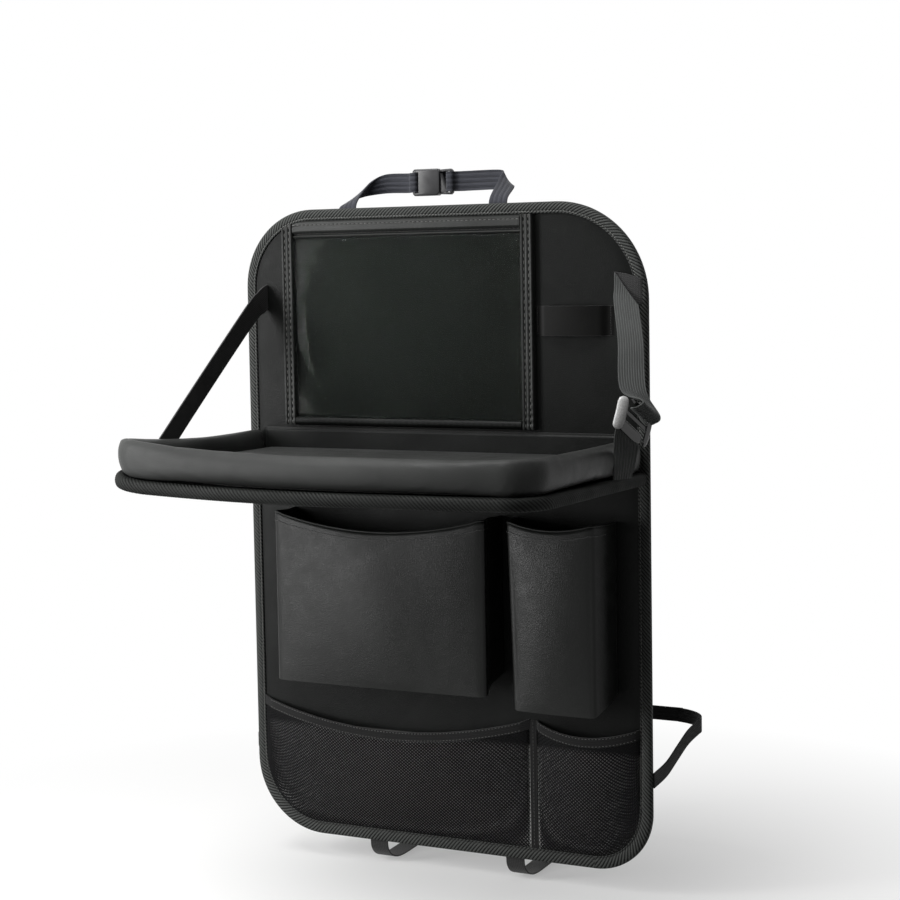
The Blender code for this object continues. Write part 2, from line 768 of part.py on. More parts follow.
def ladder_axes():
    """Centre of the adjuster and its directions: along its bars, down its length and out of its face."""
    level = Vector(LADDER_ALONG)
    down = Vector((0, 0, -1))
    facing = down.cross(level)
    bars = level * math.cos(LADDER_TILT) + down * math.sin(LADDER_TILT)
    length = -level * math.sin(LADDER_TILT) + down * math.cos(LADDER_TILT)
    clear = (LADDER_WIDTH / 2 + CHEEK_PROUD) * abs(bars.x)
    clear += (LADDER_LENGTH / 2 - CHEEK_ROUND) * abs(length.x) + (CHEEK_BACK - CHEEK_ROUND) * abs(facing.x)
    clear += CHEEK_ROUND * math.hypot(length.x, facing.x)
    centre = Vector((TRAY_HALF + clear + 2 * GAP, TRAY_BACK - RIGHT_STRAP_REACH, HINGE_Z + LADDER_UP))
    return centre, bars, length, facing


def make_ladder_buckle(mats):
    """Moulded strap adjuster: three bars between two thick oval cheeks."""
    centre, bars, length, facing = ladder_axes()
    half_w = LADDER_WIDTH / 2
    half_l = LADDER_LENGTH / 2
    half_t = LADDER_THICKNESS / 2
    body = plate(
        "tray_strap_buckle",
        rounded_outline(half_w, -half_l, half_l, 0.004, 0.004, 3),
        -half_t,
        half_t,
        own_material("tray_strap_buckle", mats["plastic"]),
        "XY",
    )
    slot_half = TRAY_WEB_WIDTH / 2 + 2 * GAP
    slot_length = (LADDER_LENGTH - 3 * LADDER_BAR) / 2
    for sign in (-1, 1):
        middle = sign * (LADDER_BAR / 2 + slot_length / 2)
        slot = block(
            "buckle_slot",
            (-slot_half, middle - slot_length / 2, -LADDER_THICKNESS),
            (slot_half, middle + slot_length / 2, LADDER_THICKNESS),
            None,
            CUTTERS,
        )
        cut(body, slot)
        cheek_thickness = half_w - slot_half - GAP
        cheek = plate(
            "buckle_cheek",
            rounded_outline(half_l, -CHEEK_BACK, CHEEK_FRONT, CHEEK_ROUND, CHEEK_ROUND, 4),
            -cheek_thickness / 2,
            cheek_thickness / 2,
            None,
            "XY",
            CUTTERS,
        )
        turn = Matrix(((0, 0, 1, 0), (1, 0, 0, 0), (0, 1, 0, 0), (0, 0, 0, 1)))
        side = sign * (half_w - cheek_thickness / 2 + CHEEK_PROUD)
        cheek.data.transform(Matrix.Translation((side, 0, 0)) @ turn)
        combine(body, cheek, "UNION")
    axes = Matrix((bars, length, facing)).transposed().to_4x4()
    stand = Matrix.Translation(centre) @ axes
    settle(body, stand)
    return body


def settle(body, stand):
    """Freeze a piece built at the origin, with its cuts, and stand it in its place."""
    bpy.context.view_layer.update()
    graph = bpy.context.evaluated_depsgraph_get()
    mesh = bpy.data.meshes.new_from_object(body.evaluated_get(graph))
    helpers = [m.object for m in body.modifiers if m.type == "BOOLEAN"]
    body.modifiers.clear()
    for helper in helpers:
        bpy.data.objects.remove(helper, do_unlink=True)
    mesh.transform(stand)
    if stand.determinant() < 0:
        mesh.flip_normals()
    body.data = mesh
    mesh.name = body.name


def make_right_strap(mats):
    """Webbing from the panel's right edge through the adjuster, and the tab that ties it to the tray."""
    centre, bars, length, facing = ladder_axes()
    pitch = (LADDER_LENGTH - LADDER_BAR) / 4
    upper = centre - length * pitch
    lower = centre + length * pitch
    anchor = HALF_HEIGHT - STRAP_ANCHOR_FROM_TOP
    start_x = HALF_WIDTH - 0.0195
    on_tape = TAPE_FRONT - GAP - WEB_THICKNESS / 2
    through = LADDER_THICKNESS / 2 + WEB_THICKNESS
    stations = [
        ((start_x, on_tape, anchor + 0.0100), (1, 0, 0)),
        ((start_x + 0.0005, on_tape - 0.0020, anchor - 0.0130), (1, 0.02, 0)),
        ((start_x + 0.0040, on_tape - 0.0120, anchor - 0.0700), (1, 0.15, -0.05)),
        (upper + Vector((-0.0070, 0.0140, 0.0300)), (0.90, 0.40, -0.25)),
        (upper - length * 0.0100 + facing * 0.0075, bars),
        (upper - length * 0.0020 + facing * 0.0062, bars),
        (upper - facing * through, bars),
    ]
    strap = ribbon("tray_strap_right", stations, TRAY_WEB_WIDTH, WEB_THICKNESS, mats["webbing"], 2)
    smooth(strap, 60)
    level = Vector(LADDER_ALONG)
    sewn = Vector((0.35, 0.94, 0.0))
    beside_rim = TRAY_HALF - RIM_INSET + WEB_THICKNESS + GAP
    half = TRAY_WEB_WIDTH / 2
    tab = [
        (lower - facing * through, bars),
        (lower + length * 0.0020 + facing * 0.0062, bars),
        (lower + length * 0.0090 + facing * 0.0070, bars),
        ((beside_rim + half * level.x, lower.y, RIM_TOP - 0.0080), level),
        ((beside_rim + half * sewn.x, lower.y, TRAY_TAPE_TOP + 2 * GAP), sewn),
    ]
    smooth(ribbon("tray_strap_tab", tab, TRAY_WEB_WIDTH, WEB_THICKNESS, mats["webbing"], 3), 60)


def side_release(name, stand, mats):
    """A socket and its latched plug. Along local X the webbing comes in at both ends."""
    half_w = BUCKLE_WIDTH / 2
    half_t = BUCKLE_THICKNESS / 2
    end = SOCKET_LENGTH + WEB_SLOT + WEB_SLOT_BAR
    shell = [(-end, -half_w + 0.002), (-end, half_w - 0.002), (-end + 0.002, half_w)]
    shell += [(-0.003, half_w), (0.0, half_w - 0.003), (0.0, -half_w + 0.003), (-0.003, -half_w)]
    shell += [(-end + 0.002, -half_w)]
    socket_material = own_material(name + "_socket", mats["plastic"])
    socket = plate(name + "_socket", shell, -half_t, half_t, socket_material, "XY")
    bevel(socket, 0.0012, 2)
    inner_w = half_w - SOCKET_WALL
    inner_t = half_t - SOCKET_WALL
    depth = SOCKET_LENGTH - 0.0030
    cut(socket, block("cavity", (-depth, -inner_w, -inner_t), (0.002, inner_w, inner_t), None, CUTTERS))
    window_low = -depth + 0.0030
    window_high = -0.0070
    low = (window_low, -half_w - 0.002, -inner_t * 0.8)
    high = (window_high, half_w + 0.002, inner_t * 0.8)
    cut(socket, block("side_window", low, high, None, CUTTERS))
    slot_high = -SOCKET_LENGTH
    slot_half = BUCKLE_WIDTH / 2 - 0.0030
    low = (slot_high - WEB_SLOT, -slot_half, -half_t - 0.001)
    high = (slot_high, slot_half, half_t + 0.001)
    cut(socket, block("web_slot", low, high, None, CUTTERS))
    settle(socket, stand)

    clear = 0.0005
    base_end = PLUG_BASE
    arm = inner_w - clear
    tip = -PRONG_LENGTH
    half_plan = [(tip + 0.003, 0.0016), (-0.0010, 0.0022), (-0.0010, arm - 0.0050)]
    half_plan += [(-0.0060, arm - 0.0038), (tip + 0.001, arm - 0.0055), (tip, arm - 0.0025)]
    half_plan += [(tip + 0.002, arm - 0.0006), (-0.0085, arm - 0.0002), (-0.0060, arm)]
    half_plan += [(clear, arm), (clear, half_w - 0.0010), (base_end - 0.002, half_w - 0.0005)]
    half_plan += [(base_end, half_w - 0.0025)]
    plan = half_plan + [(x, -y) for x, y in reversed(half_plan)]
    thick = inner_t - clear
    plug_material = own_material(name + "_plug", mats["plastic"])
    plug = plate(name + "_plug", plan, -thick, thick, plug_material, "XY")
    bevel(plug, 0.0005, 1)
    slot_low = base_end - WEB_SLOT_BAR - WEB_SLOT
    low = (slot_low, -slot_half, -half_t)
    high = (slot_low + WEB_SLOT, slot_half, half_t)
    cut(plug, block("web_slot", low, high, None, CUTTERS))
    settle(plug, stand)
    return slot_high - WEB_SLOT / 2, slot_low + WEB_SLOT / 2


def make_headrest_strap(mats):
    """Two webbing legs from the panel's top edge, joined by a latched buckle behind the headrest posts."""
    run_z = HALF_HEIGHT + TOP_RUN_UP
    top = HALF_HEIGHT + 2 * GAP
    middle_y = (FACE + BOARD_BACK) / 2
    stand = Matrix.Translation((TOP_BUCKLE_X, TOP_RUN_BACK, run_z)) @ Matrix.Rotation(math.pi / 2, 4, "X")
    socket_x, plug_x = side_release("top_buckle", stand, mats)
    rear = TOP_RUN_BACK
    left_end = TOP_BUCKLE_X + socket_x
    right_end = TOP_BUCKLE_X + plug_x
    tip = 0.0035
    left = [
        ((TOP_LEFT_LEG, middle_y, top), (1, 0, 0)),
        ((TOP_LEFT_LEG + 0.0010, middle_y + 0.0060, top + 0.0050), (1, 0, 0.10)),
        ((TOP_LEFT_LEG + 0.0070, rear * 0.66, run_z - 0.0070), (0.80, 0.10, 0.60)),
        ((TOP_LEFT_LEG + 0.0200, rear * 0.97, run_z), (0.15, 0.05, 0.98)),
        ((left_end - 0.0120, rear - 0.0005, run_z), (0, 0, 1)),
        ((left_end - 0.0060, rear - 0.0060, run_z), (0, 0, 1)),
        ((left_end, rear - 0.0050, run_z), (0, 0, 1)),
        ((left_end, rear + tip, run_z), (0, 0, 1)),
    ]
    right = [
        ((TOP_RIGHT_LEG, middle_y, top), (1, 0, 0)),
        ((TOP_RIGHT_LEG, middle_y + 0.0040, top + 0.0060), (1, 0, 0)),
        ((TOP_RIGHT_LEG - 0.0020, rear * 0.60, run_z - 0.0040), (0.90, -0.10, -0.42)),
        ((TOP_RIGHT_LEG - 0.0130, rear * 0.95, run_z), (0.22, -0.06, -0.97)),
        ((right_end + 0.0140, rear - 0.0005, run_z), (0, 0, -1)),
        ((right_end + 0.0060, rear - 0.0060, run_z), (0, 0, -1)),
        ((right_end, rear - 0.0050, run_z), (0, 0, -1)),
        ((right_end, rear + tip, run_z), (0, 0, -1)),
    ]
    smooth(ribbon("top_strap_left", left, TOP_WEB_WIDTH, WEB_THICKNESS, mats["webbing"]), 60)
    smooth(ribbon("top_strap_right", right, TOP_WEB_WIDTH, WEB_THICKNESS, mats["webbing"]), 60)


def make_bottom_strap(side, x, mats):
    """Webbing that hangs from the bottom edge, turns under the seat and ends in a flat hook."""
    low = -HALF_HEIGHT - 2 * GAP
    middle_y = (FACE + BOARD_BACK) / 2
    end_y = middle_y + BOTTOM_REACH
    route = [
        (x, middle_y, low),
        (x, middle_y + 0.0020, low - BOTTOM_DROP * 0.45),
        (x, middle_y + 0.0130, low - BOTTOM_DROP * 0.85),
        (x, middle_y + 0.0320, low - BOTTOM_DROP),
        (x, end_y, low - BOTTOM_DROP * 0.92),
    ]
    stations = [(point, (1, 0, 0)) for point in smooth_route(route, 3)]
    name = "bottom_strap_" + side
    smooth(ribbon(name, stations, BOTTOM_WEB_WIDTH, WEB_THICKNESS, mats["webbing"]), 60)
    half = BOTTOM_WEB_WIDTH / 2 + 0.0030
    z = low - BOTTOM_DROP * 0.92
    start = end_y + GAP
    section = hook_section(start, z)
    hook_name = "bottom_hook_" + side
    hook = plate(hook_name, section, x - half, x + half, own_material(hook_name, mats["plastic"]), "YZ")
    bevel(hook, 0.0005, 1)


def hook_section(start, z):
    """Side view of a flat moulded hook, open upward at its far end."""
    t = HOOK_THICKNESS
    bend = t * 1.6
    end = start + HOOK_LENGTH
    outer = arc(end - bend, z - t / 2 + bend, bend, -90, 90, 6)
    inner = arc(end - bend, z - t / 2 + bend, bend - t, 90, -90, 6)
    lip = 0.0080
    points = [(start, z - t / 2)] + outer
    points += [(end - bend - lip, z - t / 2 + 2 * bend), (end - bend - lip, z - 1.5 * t + 2 * bend)]
    points += inner
    points += [(start, z + t / 2)]
    return points


def make_seat_belt(mats):
    """Elastic belt round the seat back from one panel edge to the other, closed by a latched buckle."""
    low = up(BELT_UP)
    far = BELT_REACH
    high = low + BELT_RISE
    stand = Matrix.Translation((0.0, far, high)) @ Matrix.Rotation(math.pi / 2, 4, "X")
    socket_x, plug_x = side_release("belt_buckle", stand, mats)
    x_out = HALF_WIDTH + WEB_THICKNESS
    for side, sign, hold in (("left", -1, -socket_x), ("right", 1, plug_x)):
        corner = arc(x_out - BELT_CORNER, far - BELT_CORNER, BELT_CORNER, 0, 90, 8)
        stations = [((sign * x_out, TAPE_FRONT / 2, low), (0, 0, 1))]
        straight = far - BELT_CORNER
        for i in range(1, 4):
            t = i / 4
            rise = BELT_RISE * (3 * t**2 - 2 * t**3)
            stations.append(((sign * x_out, straight * t, low + rise), (0, 0, 1)))
        stations += [((sign * px, py, high), (0, 0, 1)) for px, py in corner]
        stations.append(((sign * (hold + 0.0140), far - 0.0005, high), (0, 0, 1)))
        stations.append(((sign * (hold + 0.0060), far - 0.0058, high), (0, 0, 1)))
        stations.append(((sign * hold, far - 0.0050, high), (0, 0, 1)))
        stations.append(((sign * hold, far + 0.0035, high), (0, 0, 1)))
        smooth(ribbon("seat_belt_" + side, stations, BELT_WIDTH, WEB_THICKNESS, mats["elastic"]), 60)


def main():
    clear_scene()
    mats = make_materials()
    make_panel(mats)
    make_tablet_pocket(mats)
    make_pen_band(mats)
    make_tray(mats)
    make_pockets(mats)
    make_mesh_pockets(mats)
    make_left_strap(mats)
    make_ladder_buckle(mats)
    make_right_strap(mats)
    make_headrest_strap(mats)
    make_bottom_strap("left", BOTTOM_LEFT_X, mats)
    make_bottom_strap("right", BOTTOM_RIGHT_X, mats)
    make_seat_belt(mats)


main()
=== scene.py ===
"""Looks of the car organizer: sewn leatherette, bound edges, net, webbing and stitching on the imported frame.

Metres, in the frame's own axes: the panel stands in the XZ plane and its front looks along -Y.
"""

import math

import bmesh
import bpy
import numpy as np
from mathutils import Matrix, Vector


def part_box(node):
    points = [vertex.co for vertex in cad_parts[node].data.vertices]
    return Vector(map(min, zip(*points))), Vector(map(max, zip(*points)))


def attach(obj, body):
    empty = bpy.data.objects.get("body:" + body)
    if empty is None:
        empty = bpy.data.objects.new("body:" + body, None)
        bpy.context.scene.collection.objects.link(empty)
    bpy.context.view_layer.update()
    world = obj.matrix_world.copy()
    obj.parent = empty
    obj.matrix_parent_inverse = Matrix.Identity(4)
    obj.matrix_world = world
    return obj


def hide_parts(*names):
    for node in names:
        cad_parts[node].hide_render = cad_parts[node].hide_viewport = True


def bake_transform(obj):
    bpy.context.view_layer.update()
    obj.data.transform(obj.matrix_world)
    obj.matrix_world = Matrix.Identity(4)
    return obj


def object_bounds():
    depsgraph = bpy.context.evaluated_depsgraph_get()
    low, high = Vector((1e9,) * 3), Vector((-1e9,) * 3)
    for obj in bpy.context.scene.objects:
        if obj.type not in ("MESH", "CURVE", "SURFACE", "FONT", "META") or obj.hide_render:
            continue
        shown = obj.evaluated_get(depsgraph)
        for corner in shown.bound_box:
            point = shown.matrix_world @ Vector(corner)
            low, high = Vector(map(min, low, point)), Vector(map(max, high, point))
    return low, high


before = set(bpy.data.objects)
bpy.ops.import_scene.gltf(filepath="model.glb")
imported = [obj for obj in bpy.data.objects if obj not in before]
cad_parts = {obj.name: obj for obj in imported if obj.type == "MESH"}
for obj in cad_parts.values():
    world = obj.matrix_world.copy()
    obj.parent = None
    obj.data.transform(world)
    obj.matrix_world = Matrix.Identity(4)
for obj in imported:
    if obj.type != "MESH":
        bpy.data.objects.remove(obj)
CAD_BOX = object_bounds()

# Camera
AZIMUTH = 27.81
ELEVATION = 4.905
ROLL = -0.975
DISTANCE = 2.0633
LENS = 82.53
SENSOR = 36.0
TARGET = (0.0112, -0.0063, 0.0816)

# Light and floor
WORLD_FILL = 0.11
KEY_PLACE = (-0.86, -0.86, 0.16)
KEY_AIM = (-0.05, -0.05, 0.0)
KEY_SIZE = (0.36, 1.1)
KEY_ENERGY = 18.0
TOP_PLACE = (-0.3, -0.6, 1.35)
TOP_AIM = (0.0, -0.05, 0.0)
TOP_SIZE = (1.0, 0.8)
TOP_ENERGY = 23.0
WHITE = (1.0, 1.0, 1.0, 1.0)
FLOOR_COLOUR = (0.93, 0.93, 0.92, 1.0)
FLOOR_RADIUS = 14.0
FLOOR_GAP = 0.002
FLOOR_FADE = {"From Min": 0.1, "From Max": 0.75, "To Min": 0.35}

# Panel and its bound edge
TAPE_LOW, TAPE_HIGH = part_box("edge_binding")
HALF_W = TAPE_HIGH.x
HALF_H = TAPE_HIGH.z
TAPE_FRONT = TAPE_LOW.y
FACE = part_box("back_panel")[0].y
BOARD_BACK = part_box("back_panel")[1].y
TOP_LEFT_RADIUS = 0.079
TOP_RIGHT_RADIUS = 0.095
LOW_LEFT_RADIUS = 0.078
LOW_RIGHT_RADIUS = 0.06
LOW_EDGE = -HALF_H - 0.0022
TAPE_WIDTH = 0.011
LOW_TAPE_SHARE = 1.24
GAP = 0.0003
ON_FACE = FACE - GAP

# Window surround: heights across each profile, and seams as place, depth, thread, pitch and length
TRIM_PROFILE = (
    (0.0, 0.0), (0.04, 0.85), (0.08, 1.0), (0.22, 0.98), (0.27, 0.72), (0.33, 0.68), (0.39, 0.86),
    (0.5, 0.9), (0.6, 0.86), (0.66, 0.66), (0.71, 0.7), (0.77, 0.96), (0.9, 1.0), (0.96, 0.85), (1.0, 0.0),
)
TRIM_SEAMS = (0.3, 0.68)
PUCKER_PITCH = 0.0064
HEADER_PROFILE = (
    (0.0, 0.1), (0.03, 0.48), (0.1, 0.6), (0.17, 0.5), (0.21, 0.34), (0.28, 0.34), (0.33, 0.66),
    (0.42, 0.78), (0.6, 0.8), (0.74, 0.78), (0.77, 0.7), (0.8, 0.78), (0.92, 0.76), (1.0, 0.3),
)
HEADER_ROWS = ((0.245, 0.44, "dark_thread", 0.0044, 0.0028), (0.77, 0.76, "mid_thread", 0.005, 0.0036))
HEM_DROP = 0.0035
BAND_THICKNESS = 0.0012

# Tray
RIM_LOW, RIM_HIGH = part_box("tray_rim")
TRAY_TAPE_LOW, TRAY_TAPE_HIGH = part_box("tray_edge_binding")
TRAY_HALF = TRAY_TAPE_HIGH.x
TRAY_BACK = TRAY_TAPE_HIGH.y
TRAY_BOW = 0.013
TRAY_CORNER = 0.04
TRAY_DEPTH = TRAY_BACK - TRAY_TAPE_LOW.y - TRAY_BOW
TRAY_STEP = 0.004
RIM_INSET = 0.0045
RIM_THICKNESS = 0.0155
HINGE_Z = 0.1
TRAY_RIB = 0.0042
RIB_HEIGHT = 0.00045
FLAP_THICKNESS = 0.0012

# Padding of the rim
VOXEL = 0.004
PRESSURE = 4.0
SWELL_CAP = 0.0022
SWELL_STEPS = 20

# Limp left front corner of the tray
WARP_CORNER = (-0.224, -0.262)
WARP_REACH = 0.22
WARP = (-0.0095, -0.0035, 0.005)
RIM_LIFT = 0.0065
CURL_CENTRE = (-0.232, -0.225)
CURL_REACH = 0.06
CURL = 0.0085

# Box pockets: name, node, sag, flare, pleat, splay and yaw
POCKETS = (
    ("large_box_pocket", "large_pocket", 0.016, 0.0, 0.0045, 0.0008, 0.0),
    ("tall_box_pocket", "tall_pocket", 0.006, 0.006, 0.0012, 0.0055, 0.005),
)
POCKET_BOTTOM_RISE = 0.018
POCKET_CROWN = 0.0065
POCKET_CORNER = 0.005
POCKET_WALL = 0.0014
PIPING = 0.0011

# Nets and their bands
NET_SAG = {"left": 0.023, "right": 0.01035}
MESH_BULGE = 0.013
NET_PITCH = 0.004
NET_ROW = 0.0038
NET_HOLE = 0.56
YARN = 0.0006
NET_BAND = 0.0018

# Webbing
WEB = 0.0014
TRAY_WEB = 0.025
TOP_WEB = 0.02
BOTTOM_WEB = 0.0205
BELT_WEB = 0.015

# Tray straps and the ladder adjuster
ANCHOR_FROM_TOP = 0.078
LEFT_ANCHOR_LOWER = 0.01
LEFT_REACH = 0.147
RIGHT_REACH = 0.06
FOLD_MITRE = 1.35
LADDER_UP = 0.019
CHEEK_PROUD = 0.0004
CHEEK_BACK = 0.0029
CHEEK_ROUND = 0.0027
LADDER_ALONG = (0.643, 0.766, 0.0)
LADDER_TILT = math.radians(42)
LADDER_LENGTH = 0.027
LADDER_BAR = 0.004
LADDER_THICKNESS = 0.0036
LADDER_WIDTH = 0.033
CHEEKS = (
    # The left cheek is painted pale grey: a painted highlight on the black adjuster.
    ("left", -1, Vector((-0.0045, -0.006, 0.0)), 0.0105, "painted_highlight_nylon"),
    ("right", 1, Vector((0.0, 0.0, 0.0)), 0.005, "polished"),
)
CHEEK_FACING = (0.885, 0.466, 0.0)
CHEEK_HALF = 0.0155

# Buckles and the top straps
SOFT_EDGE = 0.0003
SOCKET_LENGTH = 0.024
PLUG_BASE = 0.014
WEB_SLOT = 0.004
WEB_SLOT_BAR = 0.003
SOCKET_HOLD = -SOCKET_LENGTH - WEB_SLOT / 2
PLUG_HOLD = PLUG_BASE - WEB_SLOT_BAR - WEB_SLOT / 2
TOP_RUN_UP = 0.025
TOP_RUN_BACK = 0.036
TOP_LEFT_LEG = -0.101
TOP_RIGHT_LEG = 0.067
TOP_BUCKLE_X = -0.016
WEB_TIP = 0.0035

# Bottom straps and the rear belt
BOTTOM_DROP = 0.024
BOTTOM_REACH = 0.07
BOTTOM_X = {"left": -0.081, "right": 0.076}
BELT_UP = 0.091
BELT_REACH = 0.165
BELT_RISE = 0.028
BELT_CORNER = 0.05

# Stitches as pitch and length
FORWARD = (0, -1, 0)
BACKWARD = (0, 1, 0)
THREAD_RADIUS = 0.00032
HEAVY_THREAD = 0.00036
FINE_THREAD = 0.00025
PALE_ROW_END = -0.262
EDGE_SEAM = (0.0034, 0.0028)
LOW_EDGE_SEAM = (0.0034, 0.0026)
REAR_SEAM = (0.0036, 0.0028)
TRIM_SEAM = (0.0064, 0.0042)
TACK_SEAM = (0.0024, 0.0019)
HEM_SEAM = (0.0036, 0.002)
POCKET_SEAM = (0.004, 0.003)
BAND_SEAM = (0.0036, 0.0026)
STITCH_RINGS = 5
STITCH_SIDES = 6
SEED = 7
RANDOM = np.random.default_rng(SEED)

# Finish
SHARP = 50
POCKET_SHARP = 45
BLACK_LEATHER = (0.0075, 0.008, 0.0076)
# Painted highlight: the panel is painted pale grey behind the nets, so that the net's holes show the light
# dots of its glints.
NET_PAINTED_GLINT = (0.42, 0.42, 0.41, 1.0)
NET_PAINTED_GLINT_TOP = -0.2085
NET_PAINTED_GLINT_FADE = 0.006
FILM_IOR = 1.07
FILM_DARK = (0.66, 0.7, 0.67, 1.0)
FILM_PALE = (0.76, 0.8, 0.77, 1.0)


def feed(tree, node, sockets):
    """Give sockets their values: another node's output or a constant."""
    for key, value in sockets.items():
        if isinstance(value, bpy.types.NodeSocket):
            tree.links.new(value, node.inputs[key])
        else:
            node.inputs[key].default_value = value


def put(tree, kind, sockets=None, **settings):
    """Add a shader node with its settings and socket values."""
    node = tree.nodes.new(kind)
    for key, value in settings.items():
        setattr(node, key, value)
    feed(tree, node, sockets or {})
    return node


def maths(tree, operation, first, second=0.5):
    """Result of an operation on two values."""
    return put(tree, "ShaderNodeMath", {0: first, 1: second}, operation=operation).outputs[0]


def ramp(tree, factor, low, high, start=0.3, end=0.7):
    """Blend of two colours or grey levels over a stretch of a factor."""
    node = put(tree, "ShaderNodeValToRGB", {"Fac": factor})
    stops = node.color_ramp.elements
    stops[0].position = start
    stops[1].position = end
    for stop, value in zip(stops, (low, high)):
        stop.color = value if isinstance(value, tuple) else (value, value, value, 1.0)
    return node.outputs["Color"]


def mix(tree, factor, first, second, **settings):
    """Blend of two colours by a factor."""
    sockets = {"Factor": factor, 6: first, 7: second}
    return put(tree, "ShaderNodeMix", sockets, data_type="RGBA", **settings).outputs[2]


def tint(colour, share):
    """A colour made darker or lighter."""
    return (*[min(1.0, c * share) for c in colour], 1.0)


def new_material(name, specular=0.3, sheen=0.0, sheen_roughness=0.5):
    """A material with its shader's plain values, its tree and the object's coordinates."""
    material = bpy.data.materials.new(name)
    material.use_nodes = True
    tree = material.node_tree
    plain = {"Specular IOR Level": specular, "Sheen Weight": sheen, "Sheen Roughness": sheen_roughness}
    feed(tree, tree.nodes["Principled BSDF"], plain)
    return material, tree, object_place(tree)


def surface(material, colour, rough, normal):
    """Connect colour, roughness and relief to a material's shader."""
    tree = material.node_tree
    feed(tree, tree.nodes["Principled BSDF"], {"Base Color": colour, "Roughness": rough, "Normal": normal})
    return material


def noise(tree, coordinates, scale, detail=3.0, roughness=0.5):
    """Cloudy value from 0 to 1."""
    sockets = {"Vector": coordinates, "Scale": scale, "Detail": detail, "Roughness": roughness}
    return put(tree, "ShaderNodeTexNoise", sockets).outputs["Fac"]


def bump(tree, height, strength, distance, below=None):
    """Relief from a height, over another relief where there is one."""
    sockets = {"Height": height, "Strength": strength, "Distance": distance}
    if below is not None:
        sockets["Normal"] = below
    return put(tree, "ShaderNodeBump", sockets).outputs["Normal"]


def object_place(tree):
    """Coordinates of the object itself."""
    return put(tree, "ShaderNodeTexCoord").outputs["Object"]


def split_axes(tree, vector):
    """The three parts of a vector."""
    return put(tree, "ShaderNodeSeparateXYZ", {"Vector": vector}).outputs


def strip_coordinates(tree):
    """Length along and across a strip, in metres."""
    split = split_axes(tree, put(tree, "ShaderNodeUVMap", uv_map="strip").outputs["UV"])
    return split["X"], split["Y"]


def edges(tree):
    """How much a place stands out as an edge."""
    return put(tree, "ShaderNodeNewGeometry").outputs["Pointiness"]


def wave(tree, value, pitch):
    """A sine of the given pitch, from 0 to 1."""
    turned = maths(tree, "SINE", maths(tree, "MULTIPLY", value, 2 * math.pi / pitch))
    return maths(tree, "MULTIPLY_ADD", turned, 0.5)


def fuzzy(tree, height, place, scale, share):
    """A height with fine fuzz on it."""
    return maths(tree, "ADD", height, maths(tree, "MULTIPLY", noise(tree, place, scale), share))


def leatherette(name, colour, roughness, specular, grain=1.0, glint_paint_below=None):
    """Coated fabric: fine pebbled grain, soft mottling and slightly paler worn edges; where asked, pale grey
    is painted below a height as a painted highlight for the net's glints.
    """
    material, tree, place = new_material(name, specular)
    body = ramp(tree, noise(tree, place, 14.0, 4.0), tint(colour, 0.78), tint(colour, 1.25))
    worn = ramp(tree, edges(tree), 0.0, 0.35, 0.52, 0.6)
    top = mix(tree, worn, body, tint(colour, 2.4))
    # Painted highlight: pale grey below the given height, behind the nets, in place of the net's glints.
    if glint_paint_below is not None:
        reach = {"From Min": glint_paint_below, "From Max": glint_paint_below - NET_PAINTED_GLINT_FADE}
        share = put(tree, "ShaderNodeMapRange", {"Value": split_axes(tree, place)["Z"], **reach})
        top = mix(tree, share.outputs["Result"], top, NET_PAINTED_GLINT)
    rough = ramp(tree, noise(tree, place, 60.0, 5.0, 0.6), roughness - 0.06, roughness + 0.08)
    cells = put(tree, "ShaderNodeTexVoronoi", {"Vector": place, "Scale": 620.0}, feature="DISTANCE_TO_EDGE")
    pebble = ramp(tree, cells.outputs["Distance"], 0.0, 1.0, 0.0, 0.22)
    fine = bump(tree, pebble, 0.3 * grain, 0.00025)
    creases = bump(tree, noise(tree, place, 45.0, 4.0), 0.25 * grain, 0.0012, fine)
    return surface(material, top, rough, creases)


def woven(name, colour, along, across, depth=0.8, ribs=0.0, roughness=0.62, specular=0.15):
    """Webbing or elastic: threads along and across the strip, ribs along its length, lighter on the thread
    crests and darker between them as painted highlight and painted shade, with random fading.
    """
    material, tree, place = new_material(name, specular, 0.15, 0.45)
    length, width = strip_coordinates(tree)
    height = maths(tree, "MULTIPLY", wave(tree, length, along), wave(tree, width, across))
    if ribs:
        height = maths(tree, "ADD", height, maths(tree, "MULTIPLY", wave(tree, width, ribs), 1.6))
    height = fuzzy(tree, height, place, 900.0, 0.7)
    # Painted highlight and shade: lighter where the weave stands high and darker in its gaps; the fuzz in it
    # is random tone.
    shade = ramp(tree, height, tint(colour, 0.55), tint(colour, 1.7), 0.2, 1.3)
    faded = noise(tree, place, 30.0, 4.0)
    worn = ramp(tree, faded, 0.82, 1.25, 0.3, 0.75)
    shade = mix(tree, 1.0, shade, worn, blend_type="MULTIPLY")
    rough = ramp(tree, faded, roughness - 0.05, roughness + 0.1)
    return surface(material, shade, rough, bump(tree, height, depth, 0.00035))


def twill(name, colour, pitch, slant, depth, dark, light):
    """Binding tape with fine slanting ribs, its colour lighter on the rib crests and darker between them:
    painted highlight and painted shade.
    """
    material, tree, place = new_material(name, 0.07)
    length, width = strip_coordinates(tree)
    rib = wave(tree, maths(tree, "ADD", length, maths(tree, "MULTIPLY", width, slant)), pitch)
    height = fuzzy(tree, rib, place, 700.0, 0.5)
    # Painted highlight and shade: the colour follows the rib height, light on the crests and dark between the
    # ribs.
    shade = ramp(tree, height, tint(colour, dark), tint(colour, light), 0.25, 1.15)
    rough = ramp(tree, noise(tree, place, 40.0, 4.0), 0.5, 0.68)
    return surface(material, shade, rough, bump(tree, height, depth, 0.0004))


